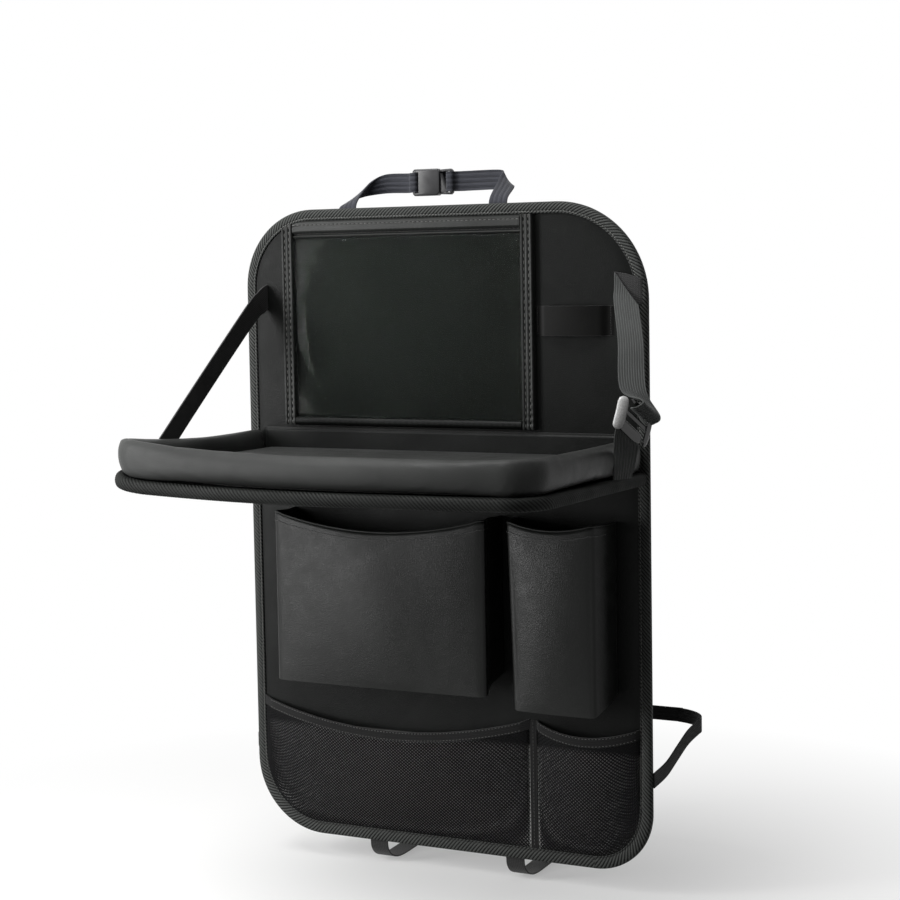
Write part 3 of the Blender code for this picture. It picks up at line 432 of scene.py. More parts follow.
def thread(name, colour):
    """Twisted sewing thread."""
    material, tree, place = new_material(name, 0.35, 0.3)
    twist = noise(tree, place, 1800.0, 2.0)
    shade = ramp(tree, twist, tint(colour, 0.65), tint(colour, 1.25))
    return surface(material, shade, 0.55, bump(tree, twist, 0.5, 0.0002))


def net(name, colour):
    """Knitted nylon net."""
    material, tree, place = new_material(name, 0.06)
    yarn = noise(tree, place, 1400.0)
    shade = ramp(tree, yarn, tint(colour, 0.6), tint(colour, 1.9))
    return surface(material, shade, ramp(tree, yarn, 0.42, 0.6), bump(tree, yarn, 0.6, 0.0003))


def lining(name, colour):
    """Plain woven backing cloth, lighter on the weave's crests and darker in its gaps: painted highlight and
    painted shade over random tone.
    """
    material, tree, place = new_material(name, 0.2, 0.2)
    split = split_axes(tree, place)
    weave = maths(tree, "MULTIPLY", wave(tree, split["X"], 0.0016), wave(tree, split["Z"], 0.0016))
    cloth = fuzzy(tree, weave, place, 500.0, 0.6)
    # Painted highlight and shade: the colour follows the weave's height; the noise in it is random tone.
    shade = ramp(tree, cloth, tint(colour, 0.6), tint(colour, 1.6), 0.2, 1.1)
    rough = ramp(tree, noise(tree, place, 25.0), 0.7, 0.86)
    folds = bump(tree, noise(tree, place, 11.0), 0.35, 0.003)
    return surface(material, shade, rough, bump(tree, cloth, 0.6, 0.0003, folds))


def moulded(name, colour, specular=0.4, roughness=0.28):
    """Moulded nylon with a fine eroded skin and paler rubbed edges."""
    material, tree, place = new_material(name, specular)
    speckle = noise(tree, place, 900.0, 4.0, 0.6)
    body = ramp(tree, speckle, tint(colour, 0.8), tint(colour, 1.3), 0.35, 0.65)
    worn = ramp(tree, edges(tree), 0.0, 0.7, 0.51, 0.6)
    top = mix(tree, worn, body, tint(colour, 4.0))
    rough = ramp(tree, noise(tree, place, 120.0, 4.0), roughness, roughness + 0.12)
    return surface(material, top, rough, bump(tree, speckle, 0.15, 0.0002))


def clear_film(name):
    """Clear vinyl with a faint green cast, light haze and shallow ripples."""
    material, tree, place = new_material(name, 0.25)
    haze = noise(tree, place, 22.0, 4.0)
    feed(tree, tree.nodes["Principled BSDF"], {"IOR": FILM_IOR, "Transmission Weight": 1.0})
    ripples = bump(tree, noise(tree, place, 6.0, 1.0), 0.12, 0.004)
    return surface(material, ramp(tree, haze, FILM_DARK, FILM_PALE), ramp(tree, haze, 0.03, 0.08), ripples)


MAT = {
    "leatherette": leatherette("leatherette_black", BLACK_LEATHER, 0.36, 0.08),
    "trim": leatherette("leatherette_trim", (0.02, 0.021, 0.02), 0.38, 0.16, 0.8),
    "panel": leatherette("leatherette_panel", BLACK_LEATHER, 0.34, 0.055, glint_paint_below=NET_PAINTED_GLINT_TOP),
    "pocket": leatherette("leatherette_pocket", (0.01, 0.0106, 0.01), 0.34, 0.14),
    "tray": leatherette("leatherette_tray", (0.034, 0.035, 0.034), 0.42, 0.11, 0.8),
    "lining": lining("lining_cloth", (0.02, 0.02, 0.021)),
    "tape": twill("tape_twill", (0.022, 0.023, 0.022), 0.004, -1.0, 1.0, 0.08, 3.2),
    "tray_tape": twill("tape_coarse_twill", (0.005, 0.0053, 0.005), TRAY_RIB, 1.0, 0.6, 0.12, 4.4),
    "webbing": woven("webbing_black", (0.024, 0.024, 0.024), 0.0016, 0.002),
    "ribbed_webbing": woven("webbing_ribbed", (0.04, 0.042, 0.041), 0.0011, 0.0016, 0.9, 0.0032),
    "top_webbing": woven("webbing_top", (0.022, 0.023, 0.028), 0.0012, 0.0014, 0.8, 0.005, 0.45, 0.08),
    "elastic": woven("elastic_black", (0.0095, 0.0095, 0.0095), 0.0014, 0.0011, 0.4, 0.0022, 0.7, 0.06),
    "pen_elastic": woven("elastic_smooth", (0.006, 0.006, 0.0058), 0.0008, 0.0008, 0.1, 0.0, 0.6, 0.04),
    "net": net("net_nylon", (0.0035, 0.0035, 0.0038)),
    "pale_thread": thread("thread_grey", (0.3, 0.3, 0.28)),
    "edge_thread": thread("thread_edge", (0.15, 0.15, 0.142)),
    "mid_thread": thread("thread_charcoal", (0.11, 0.11, 0.105)),
    "dark_thread": thread("thread_black", (0.005, 0.005, 0.005)),
    "plastic": moulded("nylon_black", (0.01, 0.01, 0.011)),
    # Pale grey nylon: a painted highlight for the adjuster's left cheek.
    "painted_highlight_nylon": moulded("nylon_painted_highlight", (0.36, 0.36, 0.355), 0.5, 0.2),
    "polished": moulded("nylon_polished", (0.006, 0.006, 0.006), 0.6, 0.14),
    "film": clear_film("vinyl_clear"),
}


def row_lengths(points, looped):
    """Mean length along the first axis of a grid, from its first row on."""
    wrapped = np.concatenate([points, points[:1]]) if looped else points
    along = np.linalg.norm(np.diff(wrapped, axis=0), axis=2).mean(1)
    return np.concatenate([[0.0], np.cumsum(along)])


def lattice(name, points, material, loop_rows=False, loop_columns=False, caps=False):
    """A mesh over a grid of points (rows, columns, 3), its strip map in metres."""
    points = np.asarray(points, float)
    rows, columns = points.shape[:2]
    index = np.arange(rows * columns).reshape(rows, columns)
    i = np.arange(rows if loop_rows else rows - 1)
    j = np.arange(columns if loop_columns else columns - 1)
    i, j = [g.ravel() for g in np.meshgrid(i, j, indexing="ij")]
    i2, j2 = (i + 1) % rows, (j + 1) % columns
    faces = np.column_stack([index[i, j], index[i2, j], index[i2, j2], index[i, j2]]).tolist()
    down = row_lengths(points, loop_rows)
    over = row_lengths(points.swapaxes(0, 1), loop_columns)
    corners = ((0, 0), (1, 0), (1, 1), (0, 1))
    uv = np.stack([np.column_stack([down[i + a], over[j + b]]) for a, b in corners], 1).reshape(-1, 2)
    if caps:
        faces.append(index[0, ::-1].tolist())
        faces.append(index[-1].tolist())
        uv = np.concatenate([uv, np.zeros((2 * columns, 2))])
    mesh = bpy.data.meshes.new(name)
    mesh.from_pydata(points.reshape(-1, 3).tolist(), [], faces)
    layer = mesh.uv_layers.new(name="strip")
    layer.data.foreach_set("uv", uv.astype(np.float32).ravel())
    return wrap(name, mesh, material, caps or (loop_rows and loop_columns))


def tube(name, points, material):
    """A closed form over rings of points, capped at both ends."""
    return lattice(name, points, material, False, True, True)


def grid_of(*parts):
    """Points of a grid from their three coordinates, stretched to one shape."""
    return np.stack(np.broadcast_arrays(*parts), -1)


def on_face(front):
    """A relief's grid closed by a flat back on the panel's face."""
    back = front[:, [-1, 0]].copy()
    back[..., 1] = ON_FACE
    return np.concatenate([front, back], 1)


def add_object(name, data):
    """An object in the scene for a mesh, a light or a camera."""
    item = bpy.data.objects.new(name, data)
    bpy.context.scene.collection.objects.link(item)
    return item


def reworked(mesh, work):
    """Edit a mesh in place."""
    bm = bmesh.new()
    bm.from_mesh(mesh)
    work(bm)
    bm.to_mesh(mesh)
    bm.free()


def face_outward(bm):
    """Turn all faces of a closed mesh outward."""
    if bm.calc_volume(signed=True) < 0:
        bmesh.ops.reverse_faces(bm, faces=bm.faces)


def wrap(name, mesh, material, closed):
    """Object for a mesh, smooth, with its faces outward where it is closed."""
    if closed:
        reworked(mesh, face_outward)
    mesh.materials.append(material)
    piece = add_object(name, mesh)
    mesh.shade_smooth()
    mesh.set_sharp_from_angle(angle=math.radians(SHARP))
    return piece


def thicken(piece, name, thickness, offset=-1.0):
    """Give a sheet its thickness."""
    solid = piece.modifiers.new(name, "SOLIDIFY")
    solid.thickness = thickness
    solid.offset = offset


def unit(vectors):
    """Vectors made one long, row by row."""
    return vectors / np.linalg.norm(vectors, axis=-1, keepdims=True)


def distances(points):
    """Length along a line at each of its points."""
    return np.concatenate([[0.0], np.cumsum(np.linalg.norm(np.diff(points, axis=0), axis=1))])


def belong(piece, body, slot, *nodes):
    """Ride a piece on its body and hide the frame nodes it stands for; the finish slot is not used."""
    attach(piece, body)
    if nodes:
        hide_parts(*nodes)
    return piece


def resample(points, step, closed=False):
    """Evenly spaced points along a line."""
    points = np.asarray(points, float)
    if closed:
        points = np.vstack([points, points[:1]])
    along = distances(points)
    marks = np.linspace(0, along[-1], max(2, round(along[-1] / step)) + 1)
    out = np.column_stack([np.interp(marks, along, points[:, k]) for k in range(points.shape[1])])
    return out[:-1] if closed else out


def tangents(points, closed=False):
    """Directions along a line."""
    if closed:
        return unit(np.roll(points, -1, 0) - np.roll(points, 1, 0))
    return unit(np.gradient(points, axis=0))


def arc(cx, cy, radius, start, end, steps=24):
    """Points of an arc in a plane, its angles in degrees."""
    turns = np.radians(np.linspace(start, end, steps + 1))
    return np.column_stack([cx + radius * np.cos(turns), cy + radius * np.sin(turns)])


def panel_edge(inset=0.0, step=0.003):
    """The panel's outline in X and Z, from its bottom right corner up, and its inward normals."""
    half, high, low = HALF_W - inset, HALF_H - inset, LOW_EDGE + inset
    radii = (LOW_RIGHT_RADIUS, TOP_RIGHT_RADIUS, TOP_LEFT_RADIUS, LOW_LEFT_RADIUS)
    low_right, top_right, top_left, low_left = [radius - inset for radius in radii]
    ring = np.vstack(
        [
            arc(half - low_right, low + low_right, low_right, -90, 0),
            arc(half - top_right, high - top_right, top_right, 0, 90),
            arc(-half + top_left, high - top_left, top_left, 90, 180),
            arc(-half + low_left, low + low_left, low_left, 180, 270),
        ]
    )
    ring = resample(ring, step, True)
    t = tangents(ring, True)
    return ring, np.column_stack([-t[:, 1], t[:, 0]])


def tray_edge(inset=0.0, step=0.003):
    """The tray's outline in X and Y from the left hinge end round the front, and its inward normals."""
    front = TRAY_BACK - TRAY_DEPTH
    half = TRAY_HALF
    left = arc(-half + TRAY_CORNER, front + TRAY_CORNER, TRAY_CORNER, 180, 262)
    right = arc(half - TRAY_CORNER, front + TRAY_CORNER, TRAY_CORNER, 278, 360)
    t = np.linspace(0, 1, 60)[1:-1]
    across = left[-1, 0] + (right[0, 0] - left[-1, 0]) * t
    bow = np.column_stack([across, left[-1, 1] - TRAY_BOW * np.sin(math.pi * t)])
    line = np.vstack([[(-half, TRAY_BACK)], left, bow, right, [(half, TRAY_BACK)]])
    line = resample(line, step)
    t = tangents(line)
    normal = np.column_stack([-t[:, 1], t[:, 0]])
    line = line + normal * inset
    line[[0, -1], 1] = TRAY_BACK
    return line, normal


def stitches(name, points, normals, seam, thread_name, slot, radius=THREAD_RADIUS, closed=False):
    """A row of stitches along a line on the panel, each one a short arched thread."""
    pitch, length = seam
    points = np.asarray(points, float)
    normals = np.broadcast_to(np.asarray(normals, float), points.shape)
    both = resample(np.hstack([points, normals]), pitch, closed)
    centres, up = both[:, :3], unit(both[:, 3:])
    along = tangents(centres, closed)
    side = np.cross(along, up)
    count, rings, sides = len(centres), STITCH_RINGS, STITCH_SIDES
    s = np.linspace(-1, 1, rings)
    turn = np.linspace(0, 2 * math.pi, sides, endpoint=False)
    swell = np.sqrt(np.clip(1.06 - s**4, 0, 1))[:, None]
    lift = radius * (0.75 - 1.5 * s**2)[:, None]
    wobble = RANDOM.normal(0, 0.05, (count, 1, 1, 1))
    reach = (s * length / 2)[None, :, None, None]
    up, along, side = [v[:, None, None, :] for v in (up, along, side)]
    rise = (lift + radius * swell * np.sin(turn))[None, :, :, None] * up
    lean = (radius * swell * np.cos(turn))[None, :, :, None] * side
    cloud = centres[:, None, None, :] + reach * along + rise + lean + wobble * reach * side
    base = (np.arange(count) * rings * sides)[:, None, None]
    i, j = np.meshgrid(np.arange(rings - 1), np.arange(sides), indexing="ij")
    j2 = (j + 1) % sides
    quads = np.stack([i * sides + j, (i + 1) * sides + j, (i + 1) * sides + j2, i * sides + j2], -1)
    quads = (base + quads.reshape(1, -1, 4)).reshape(-1, 4).tolist()
    ends = [[k * rings * sides + q for q in range(sides)] for k in range(count)]
    ends += [[(k + 1) * rings * sides - 1 - q for q in range(sides)] for k in range(count)]
    mesh = bpy.data.meshes.new(name)
    mesh.from_pydata(cloud.reshape(-1, 3).tolist(), [], quads + ends)
    return belong(wrap(name, mesh, MAT[thread_name], True), "panel", slot)


def tape_share(ring):
    """The edge tape is wider along the bottom than at the sides and the top."""
    t = np.clip((-HALF_H + 0.11 - ring[:, 1]) / 0.09, 0, 1)
    return 1 + (LOW_TAPE_SHARE - 1) * t * t * (3 - 2 * t)


def swept_edge(name, ring, normal, section, to_space, material, closed, share=None):
    """Sweep a section of (inward, forward) pairs along an outline."""
    section = np.asarray(section, float)
    share = np.ones(len(ring)) if share is None else share
    rows = ring[:, None, :] + section[None, :, :1] * share[:, None, None] * normal[:, None, :]
    forward = np.broadcast_to(section[None, :, 1], rows.shape[:2])
    return lattice(name, to_space(rows, forward), material, closed, True, not closed)


def upright(rows, forward):
    """From (x, z) and a depth along -Y to space."""
    return np.stack([rows[..., 0], -forward, rows[..., 1]], -1)


def level(rows, height):
    """From (x, y) and a height to space."""
    return np.stack([rows[..., 0], rows[..., 1], height], -1)


def curve(a, b, c, d, t):
    """Point at t on a smooth curve from b to c."""
    turn = (2 * a - 5 * b + 4 * c - d) * t**2 + (3 * b - a - 3 * c + d) * t**3
    return 0.5 * (2 * b + (c - a) * t + turn)


def rounded(points, steps=4):
    """A closed loop of points made smooth."""
    points = np.asarray(points, float)
    fours = zip(*[np.roll(points, shift, 0) for shift in (1, 0, -1, -2)])
    return np.array([curve(*four, t) for four in fours for t in np.linspace(0, 1, steps, endpoint=False)])


def spline(points, steps):
    """Smooth curve through points."""
    points = np.asarray(points, float)
    ends = np.vstack([2 * points[0] - points[1], points, 2 * points[-1] - points[-2]])
    fours = zip(ends, ends[1:], ends[2:], ends[3:])
    out = [curve(*four, t) for four in fours for t in np.linspace(0, 1, steps, endpoint=False)]
    return np.array(out + [points[-1]])


def pillow(name, outlines, depths, back, to_space, material):
    """A plate whose face crowns inward from its edge: one outline and depth for each ring."""
    rings = [to_space(o, np.full(len(o), d)) for o, d in zip([outlines[0], *outlines], [back, *depths])]
    return tube(name, np.stack(rings), material)


def make_panel():
    """Leatherette over a thin foam on the board, and the woven backing behind it."""
    insets = [TAPE_WIDTH * 0.15, TAPE_WIDTH * 0.15, 0.009, 0.0115, 0.0135, 0.017, 0.022, 0.03]
    depths = [-BOARD_BACK, -FACE - 0.0004, -FACE + 0.0001, -FACE + 0.0001, -FACE + 0.0005, -FACE + 0.0009]
    depths += [-FACE + 0.0011, -FACE + 0.0011]
    ring, normal = panel_edge()
    outlines = [ring + normal * inset for inset in insets]
    cover = pillow("panel_cover", outlines, depths, -BOARD_BACK, upright, MAT["panel"])
    belong(cover, "panel", "leatherette", "back_panel")
    insets = [0.009, 0.0112, 0.014, 0.02]
    depths = [0.0006, 0.0006, 0.0002, 0.0]
    outlines = [ring + normal * inset for inset in insets]
    back = pillow("backing_cloth", outlines, depths, 0.0012, upright, MAT["lining"])
    belong(back, "panel", "lining", "rear_lining")


def make_edge_tape():
    """Folded tape round the panel, its raised inner lip, and the two rows of stitching."""
    front = -TAPE_FRONT
    section = [
        (0.011, 0.0006), (0.006, 0.0), (0.0014, 0.0002), (0.0, 0.0018), (-0.0002, front * 0.5),
        (0.0002, front - 0.0012), (0.0018, front + 0.0002), (0.005, front + 0.0006), (0.0078, front + 0.0002),
        (0.0088, front - 0.0005), (0.0096, front + 0.0002), (0.0104, front + 0.0002),
        (0.0111, front - 0.001), (0.0106, front - 0.0014), (0.0085, front - 0.002),
        (0.003, front - 0.0022), (0.002, front * 0.5), (0.003, 0.0016), (0.01, 0.0013),
    ]
    ring, normal = panel_edge()
    share = tape_share(ring)
    tape = swept_edge("edge_tape", ring, normal, rounded(section, 2), upright, MAT["tape"], True, share)
    belong(tape, "panel", "tape", "edge_binding")
    row = ring + normal * (0.0088 * share)[:, None]
    line = upright(row, np.full(len(row), front - 0.0004))
    start = int(np.argmax(line[:, 2] > PALE_ROW_END))
    line = np.roll(line, -start, axis=0)
    upper = line[:, 2] > PALE_ROW_END
    stitches("edge_stitching", line[upper], FORWARD, EDGE_SEAM, "edge_thread", "tape")
    stitches("low_edge_stitching", line[~upper], FORWARD, LOW_EDGE_SEAM, "dark_thread", "tape")
    row = ring + normal * 0.0092
    line = upright(row, np.full(len(row), -0.0003))
    stitches("rear_edge_stitching", line, BACKWARD, REAR_SEAM, "mid_thread", "tape", closed=True)


def reach_top(places):
    """Highest Z inside the edge tape at each place along X."""
    return np.array([tape_inner_top(x) for x in places])


def make_trims():
    """Two padded trims beside the clear window, each with a sewn valley."""
    for side in ("left", "right"):
        node = "window_trim_" + side
        low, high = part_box(node)
        u = np.linspace(0, 1, 45)
        x = low.x + (high.x - low.x) * u
        run = np.linspace(0, 1, 130)
        z = low.z + (reach_top(x)[None, :] - low.z) * run[:, None]
        pucker = 1 - 0.06 * np.abs(np.cos(math.pi * (z - low.z) / PUCKER_PITCH))
        pucker = pucker - 0.04 * RANDOM.random((len(run), 1))
        height = 0.0008 + (ON_FACE - low.y - 0.0012) * np.interp(u, *zip(*TRIM_PROFILE))[None, :] * pucker
        front = grid_of(x[None, :], ON_FACE - height, z)
        trim = tube("padded_" + node, on_face(front), MAT["trim"])
        belong(trim, "panel", "leatherette", node)
        for k, share in enumerate(TRIM_SEAMS):
            x = low.x + (high.x - low.x) * share
            out = low.y + 0.0022
            line = [(x, out, low.z + 0.003), (x, out, tape_inner_top(x) - 0.002)]
            name = "stitching_%s_%d" % (node, k + 1)
            stitches(name, line, FORWARD, TRIM_SEAM, "edge_thread", "leatherette", HEAVY_THREAD)


def make_header():
    """Header above the window: a rolled lower lip, a sewn groove and a softly crowned band."""
    low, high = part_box("window_header")
    x = np.arange(low.x, high.x, 0.001)
    x[-1] = high.x
    t = np.linspace(0, 1, 60)
    profile = np.interp(t, *zip(*HEADER_PROFILE))
    ripple = 0.5 + 0.5 * np.sin(2 * math.pi * x / 0.0044 + 1.2 * np.sin(2 * math.pi * x / 0.031))
    loose = np.exp(-(((t - 0.3) / 0.12) ** 2))
    stand = ON_FACE - low.y
    depth = stand * (profile[None, :] - 0.07 * loose[None, :] * ripple[:, None])
    z = low.z + t[None, :] * (np.minimum(high.z, reach_top(x))[:, None] - low.z)
    front = grid_of(x[:, None], ON_FACE - depth, z)
    strip = tube("sewn_header", on_face(front), MAT["trim"])
    belong(strip, "panel", "leatherette", "window_header")
    for k, (row, out, thread_name, *seam) in enumerate(HEADER_ROWS):
        y = ON_FACE - stand * out
        z = low.z + row * (high.z - low.z)
        line = [(low.x + 0.002, y, z), (high.x - 0.002, y, z)]
        name = "header_stitching_%d" % (k + 1)
        stitches(name, line, FORWARD, seam, thread_name, "leatherette", HEAVY_THREAD)


def tape_inner_top(x):
    """Highest Z at x inside the edge tape."""
    corner = TOP_LEFT_RADIUS if x < 0 else TOP_RIGHT_RADIUS
    radius = corner - TAPE_WIDTH
    past = max(0.0, abs(x) - (HALF_W - corner))
    return HALF_H - corner + math.sqrt(max(0.0, radius**2 - past**2)) - GAP


def make_window():
    """Clear film with shallow ripples, and the padded trim under it."""
    low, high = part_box("tablet_window")
    x = np.linspace(low.x, high.x, 60)
    z = np.linspace(low.z, high.z, 50)
    gx, gz = np.meshgrid(x, z, indexing="ij")
    ripple = 0.00025 * np.sin(38 * gx + 9 * gz) * np.sin(21 * gz + 4 * gx + 0.7)
    thick = (high.y - low.y) * 0.6
    front = np.stack([gx, (low.y + high.y) / 2 - thick / 2 + ripple, gz], -1)
    film = lattice("window_film", front, MAT["film"])
    thicken(film, "film_thickness", thick)
    belong(film, "panel", "film", "tablet_window")
    low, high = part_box("window_base_trim")
    length = np.arange(low.x, high.x, 0.0016)
    length[-1] = high.x
    half = (high.z - low.z) / 2
    stand = high.y - low.y
    left = [(-half, 0.0), (-half * 0.98, stand * 0.6), (-half * 0.45, stand * 0.98)]
    section = rounded(left + [(-x, y) for x, y in left[::-1]], 4)
    section[:, 1] = np.clip(section[:, 1], 0.0, stand)
    pucker = 1 - 0.05 * np.abs(np.cos(math.pi * length / PUCKER_PITCH))
    y = high.y - section[None, :, 1] * pucker[:, None]
    rows = grid_of(length[:, None], y, (low.z + high.z) / 2 + section[None, :, 0])
    trim = tube("padded_base_trim", rows, MAT["leatherette"])
    belong(trim, "panel", "leatherette", "window_base_trim")


def flat_section(width, thickness, edge=0.35):
    """Section of a strap: flat, with round selvedges."""
    w, t = width / 2, thickness / 2
    half = [(-w + t * edge, -t), (-w * 0.5, -t * 1.02), (0, -t)]
    half += [(w * 0.5, -t * 1.02), (w - t * edge, -t), (w, 0)]
    return np.array(half + [(-x, -y) for x, y in half])


def strap(name, stations, width, thickness, material, steps=10, mitre=0.0):
    """Webbing lofted along stations of (centre, direction of its width), its start square or at a slant."""
    route = spline([c for c, _ in stations], steps)
    turn = unit(spline(unit(np.array([w for _, w in stations], float)), steps))
    face = unit(np.cross(tangents(route), turn))
    section = flat_section(width, thickness)
    across = section[None, :, :1] * turn[:, None, :]
    points = route[:, None, :] + across + section[None, :, 1:] * face[:, None, :]
    if mitre:
        gone = distances(route)
        for k, cut in enumerate((section[:, 0] + width / 2) * mitre):
            marks = cut + gone * (gone[-1] - cut) / gone[-1]
            points[:, k] = np.column_stack([np.interp(marks, gone, points[:, k, c]) for c in range(3)])
    return tube(name, points, material)


def make_pen_band():
    """Elastic band bulging off the panel between two tacked ends."""
    low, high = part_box("pen_elastic")
    ground = high.y - BAND_THICKNESS / 2
    rise = ground - low.y - BAND_THICKNESS / 2
    middle = (low.z + high.z) / 2
    stations = []
    for t in np.linspace(0, 1, 15):
        out = rise * max(0.0, math.sin(math.pi * (t * 1.16 - 0.08))) ** 0.55
        stations.append(((low.x + (high.x - low.x) * t, ground - out, middle), (0, 0, 1)))
    band = strap("pen_band", stations, high.z - low.z, BAND_THICKNESS, MAT["pen_elastic"], 6)
    belong(band, "panel", "elastic", "pen_elastic")
    for side, x in (("left", low.x + 0.0022), ("right", high.x - 0.0022)):
        y = ground - BAND_THICKNESS
        line = [(x, y, low.z + 0.002), (x, y, high.z - 0.002)]
        stitches("pen_band_tack_" + side, line, FORWARD, TACK_SEAM, "dark_thread", "elastic")


def make_hem():
    """Folded hem that the tray hangs from, with two rows of stitches."""
    low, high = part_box("hinge_hem")
    z = (low.z + high.z) / 2 - HEM_DROP
    half = (high.z - low.z) / 2 + HEM_DROP * 0.4
    stand = high.y - low.y
    left = [(-half, 0), (-half, stand * 0.7), (-half * 0.7, stand)]
    section = np.array(left + [(0, stand * 0.86)] + [(-x, y) for x, y in left[::-1]])
    length = np.arange(low.x, high.x, 0.004)
    length[-1] = high.x
    rows = grid_of(length[:, None], high.y - section[None, :, 1], z + section[None, :, 0])
    hem = tube("sewn_hem", rows, MAT["leatherette"])
    belong(hem, "panel", "leatherette", "hinge_hem")
    for k, (offset, thread_name) in enumerate(((0.0, "pale_thread"), (-0.004, "mid_thread"))):
        y = low.y + stand * 0.12
        line = [(low.x + 0.003, y, z + offset), (high.x - 0.003, y, z + offset)]
        stitches("hem_stitching_%d" % (k + 1), line, FORWARD, HEM_SEAM, thread_name, "leatherette")


def swell(piece):
    """Padded look by simulation: remesh, blow up a little, keep each point near its place."""
    remesh = piece.modifiers.new("even_mesh", "REMESH")
    remesh.mode = "VOXEL"
    remesh.voxel_size = VOXEL
    bake(piece)
    rest = positions(piece)
    cloth = piece.modifiers.new("swelling", "CLOTH")
    cloth.settings.use_pressure = True
    cloth.settings.uniform_pressure_force = PRESSURE
    cloth.settings.effector_weights.gravity = 0.0
    scene = bpy.context.scene
    for step in range(1, SWELL_STEPS + 1):
        scene.frame_set(step)
    bake(piece)
    scene.frame_set(1)
    moved = positions(piece) - rest
    size = np.linalg.norm(moved, axis=1, keepdims=True)
    moved *= np.minimum(1.0, SWELL_CAP / np.maximum(size, 1e-9))
    put_back(piece, rest + moved)
    piece.data.shade_smooth()


def positions(piece):
    """Places of a mesh's points."""
    co = np.zeros(len(piece.data.vertices) * 3, np.float32)
    piece.data.vertices.foreach_get("co", co)
    return co.reshape(-1, 3).astype(float)


def put_back(piece, places):
    """Move a mesh's points to new places."""
    piece.data.vertices.foreach_set("co", places.astype(np.float32).ravel())


def bake(piece):
    """Replace a piece's mesh by what its modifiers make of it."""
    graph = bpy.context.evaluated_depsgraph_get()
    mesh = bpy.data.meshes.new_from_object(piece.evaluated_get(graph))
    piece.modifiers.clear()
    piece.data = mesh


def soft_corner(piece):
    """Lift and spread the tray's left front corner a little, as its limp edge does."""
    place = positions(piece)
    far = np.hypot(place[:, 0] - WARP_CORNER[0], place[:, 1] - WARP_CORNER[1])
    share = np.clip(1 - far / WARP_REACH, 0, 1) ** 2
    high = np.clip((place[:, 2] - RIM_LOW.z) / (RIM_HIGH.z - RIM_LOW.z), 0, 1)
    place += share[:, None] * np.array(WARP)
    place[:, 2] += RIM_LIFT * share * high
    near = np.hypot(place[:, 0] - CURL_CENTRE[0], place[:, 1] - CURL_CENTRE[1])
    place[:, 2] += CURL * np.clip(1 - near / CURL_REACH, 0, 1) ** 1.5 * (1 - high)
    put_back(piece, place)
    piece.data.update()


def make_tray():
    """Padded rim, floor, board and rear flap of the fold-down tray."""
    line, normal = tray_edge(0.0, TRAY_STEP)
    half = RIM_THICKNESS / 2
    centre = RIM_INSET + half
    low, high = RIM_LOW.z, RIM_HIGH.z
    tall = high - low
    shares = [(0.8, 0.0), (0.98, 0.25), (0.98, 0.65), (0.7, 0.93), (0.0, 1.0), (-0.72, 0.9)]
    shares += [(-1.06, 0.58), (-0.9, 0.22), (-0.35, 0.0)]
    section = rounded([(centre + half * a, low + tall * b) for a, b in shares], 4)
    rim = swept_edge("padded_rim", line, normal, section, level, MAT["tray"], False)
    swell(rim)
    soft_corner(rim)
    soften = rim.modifiers.new("soft", "SUBSURF")
    soften.levels = 1
    soften.render_levels = 1
    belong(rim, "tray", "tray_leatherette", "tray_rim")

    inside = RIM_INSET + RIM_THICKNESS + GAP
    low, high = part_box("tray_floor")
    outlines = [tray_edge(inside + k, TRAY_STEP)[0] for k in (0.0, 0.0, 0.0025, 0.007, 0.014)]
    for outline in outlines:
        outline[[0, -1], 1] = high.y
    depths = [high.z - k for k in (0.003, 0.0024, 0.0008, 0.0002, 0.0)]
    floor = pillow("soft_floor", outlines, depths, low.z, level, MAT["tray"])
    soft_corner(floor)
    belong(floor, "tray", "tray_leatherette", "tray_floor")

    low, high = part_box("tray_board")
    inset = TRAY_HALF - high.x
    outlines = [tray_edge(inset + k, TRAY_STEP)[0] for k in (0.0, 0.006, 0.009, 0.014, 0.022)]
    depths = [low.z + k for k in (0.0012, 0.001, 0.0002, -0.0004, -0.0006)]
    board = pillow("tray_underside", outlines, depths, high.z, level, MAT["leatherette"])
    soft_corner(board)
    belong(board, "tray", "leatherette", "tray_board")

    low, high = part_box("tray_rear_flap")
    x = np.linspace(low.x, high.x, 120)
    z = np.linspace(low.z, high.z, 16)
    gx, gz = np.meshgrid(x, z, indexing="ij")
    ripple = 0.0003 * np.sin(60 * gx + 3) * np.sin(math.pi * (gz - low.z) / (high.z - low.z))
    sheet = lattice("rear_flap", np.stack([gx, (low.y + high.y) / 2 + ripple, gz], -1), MAT["leatherette"])
    thicken(sheet, "flap_thickness", FLAP_THICKNESS, 0.0)
    belong(sheet, "tray", "leatherette", "tray_rear_flap")


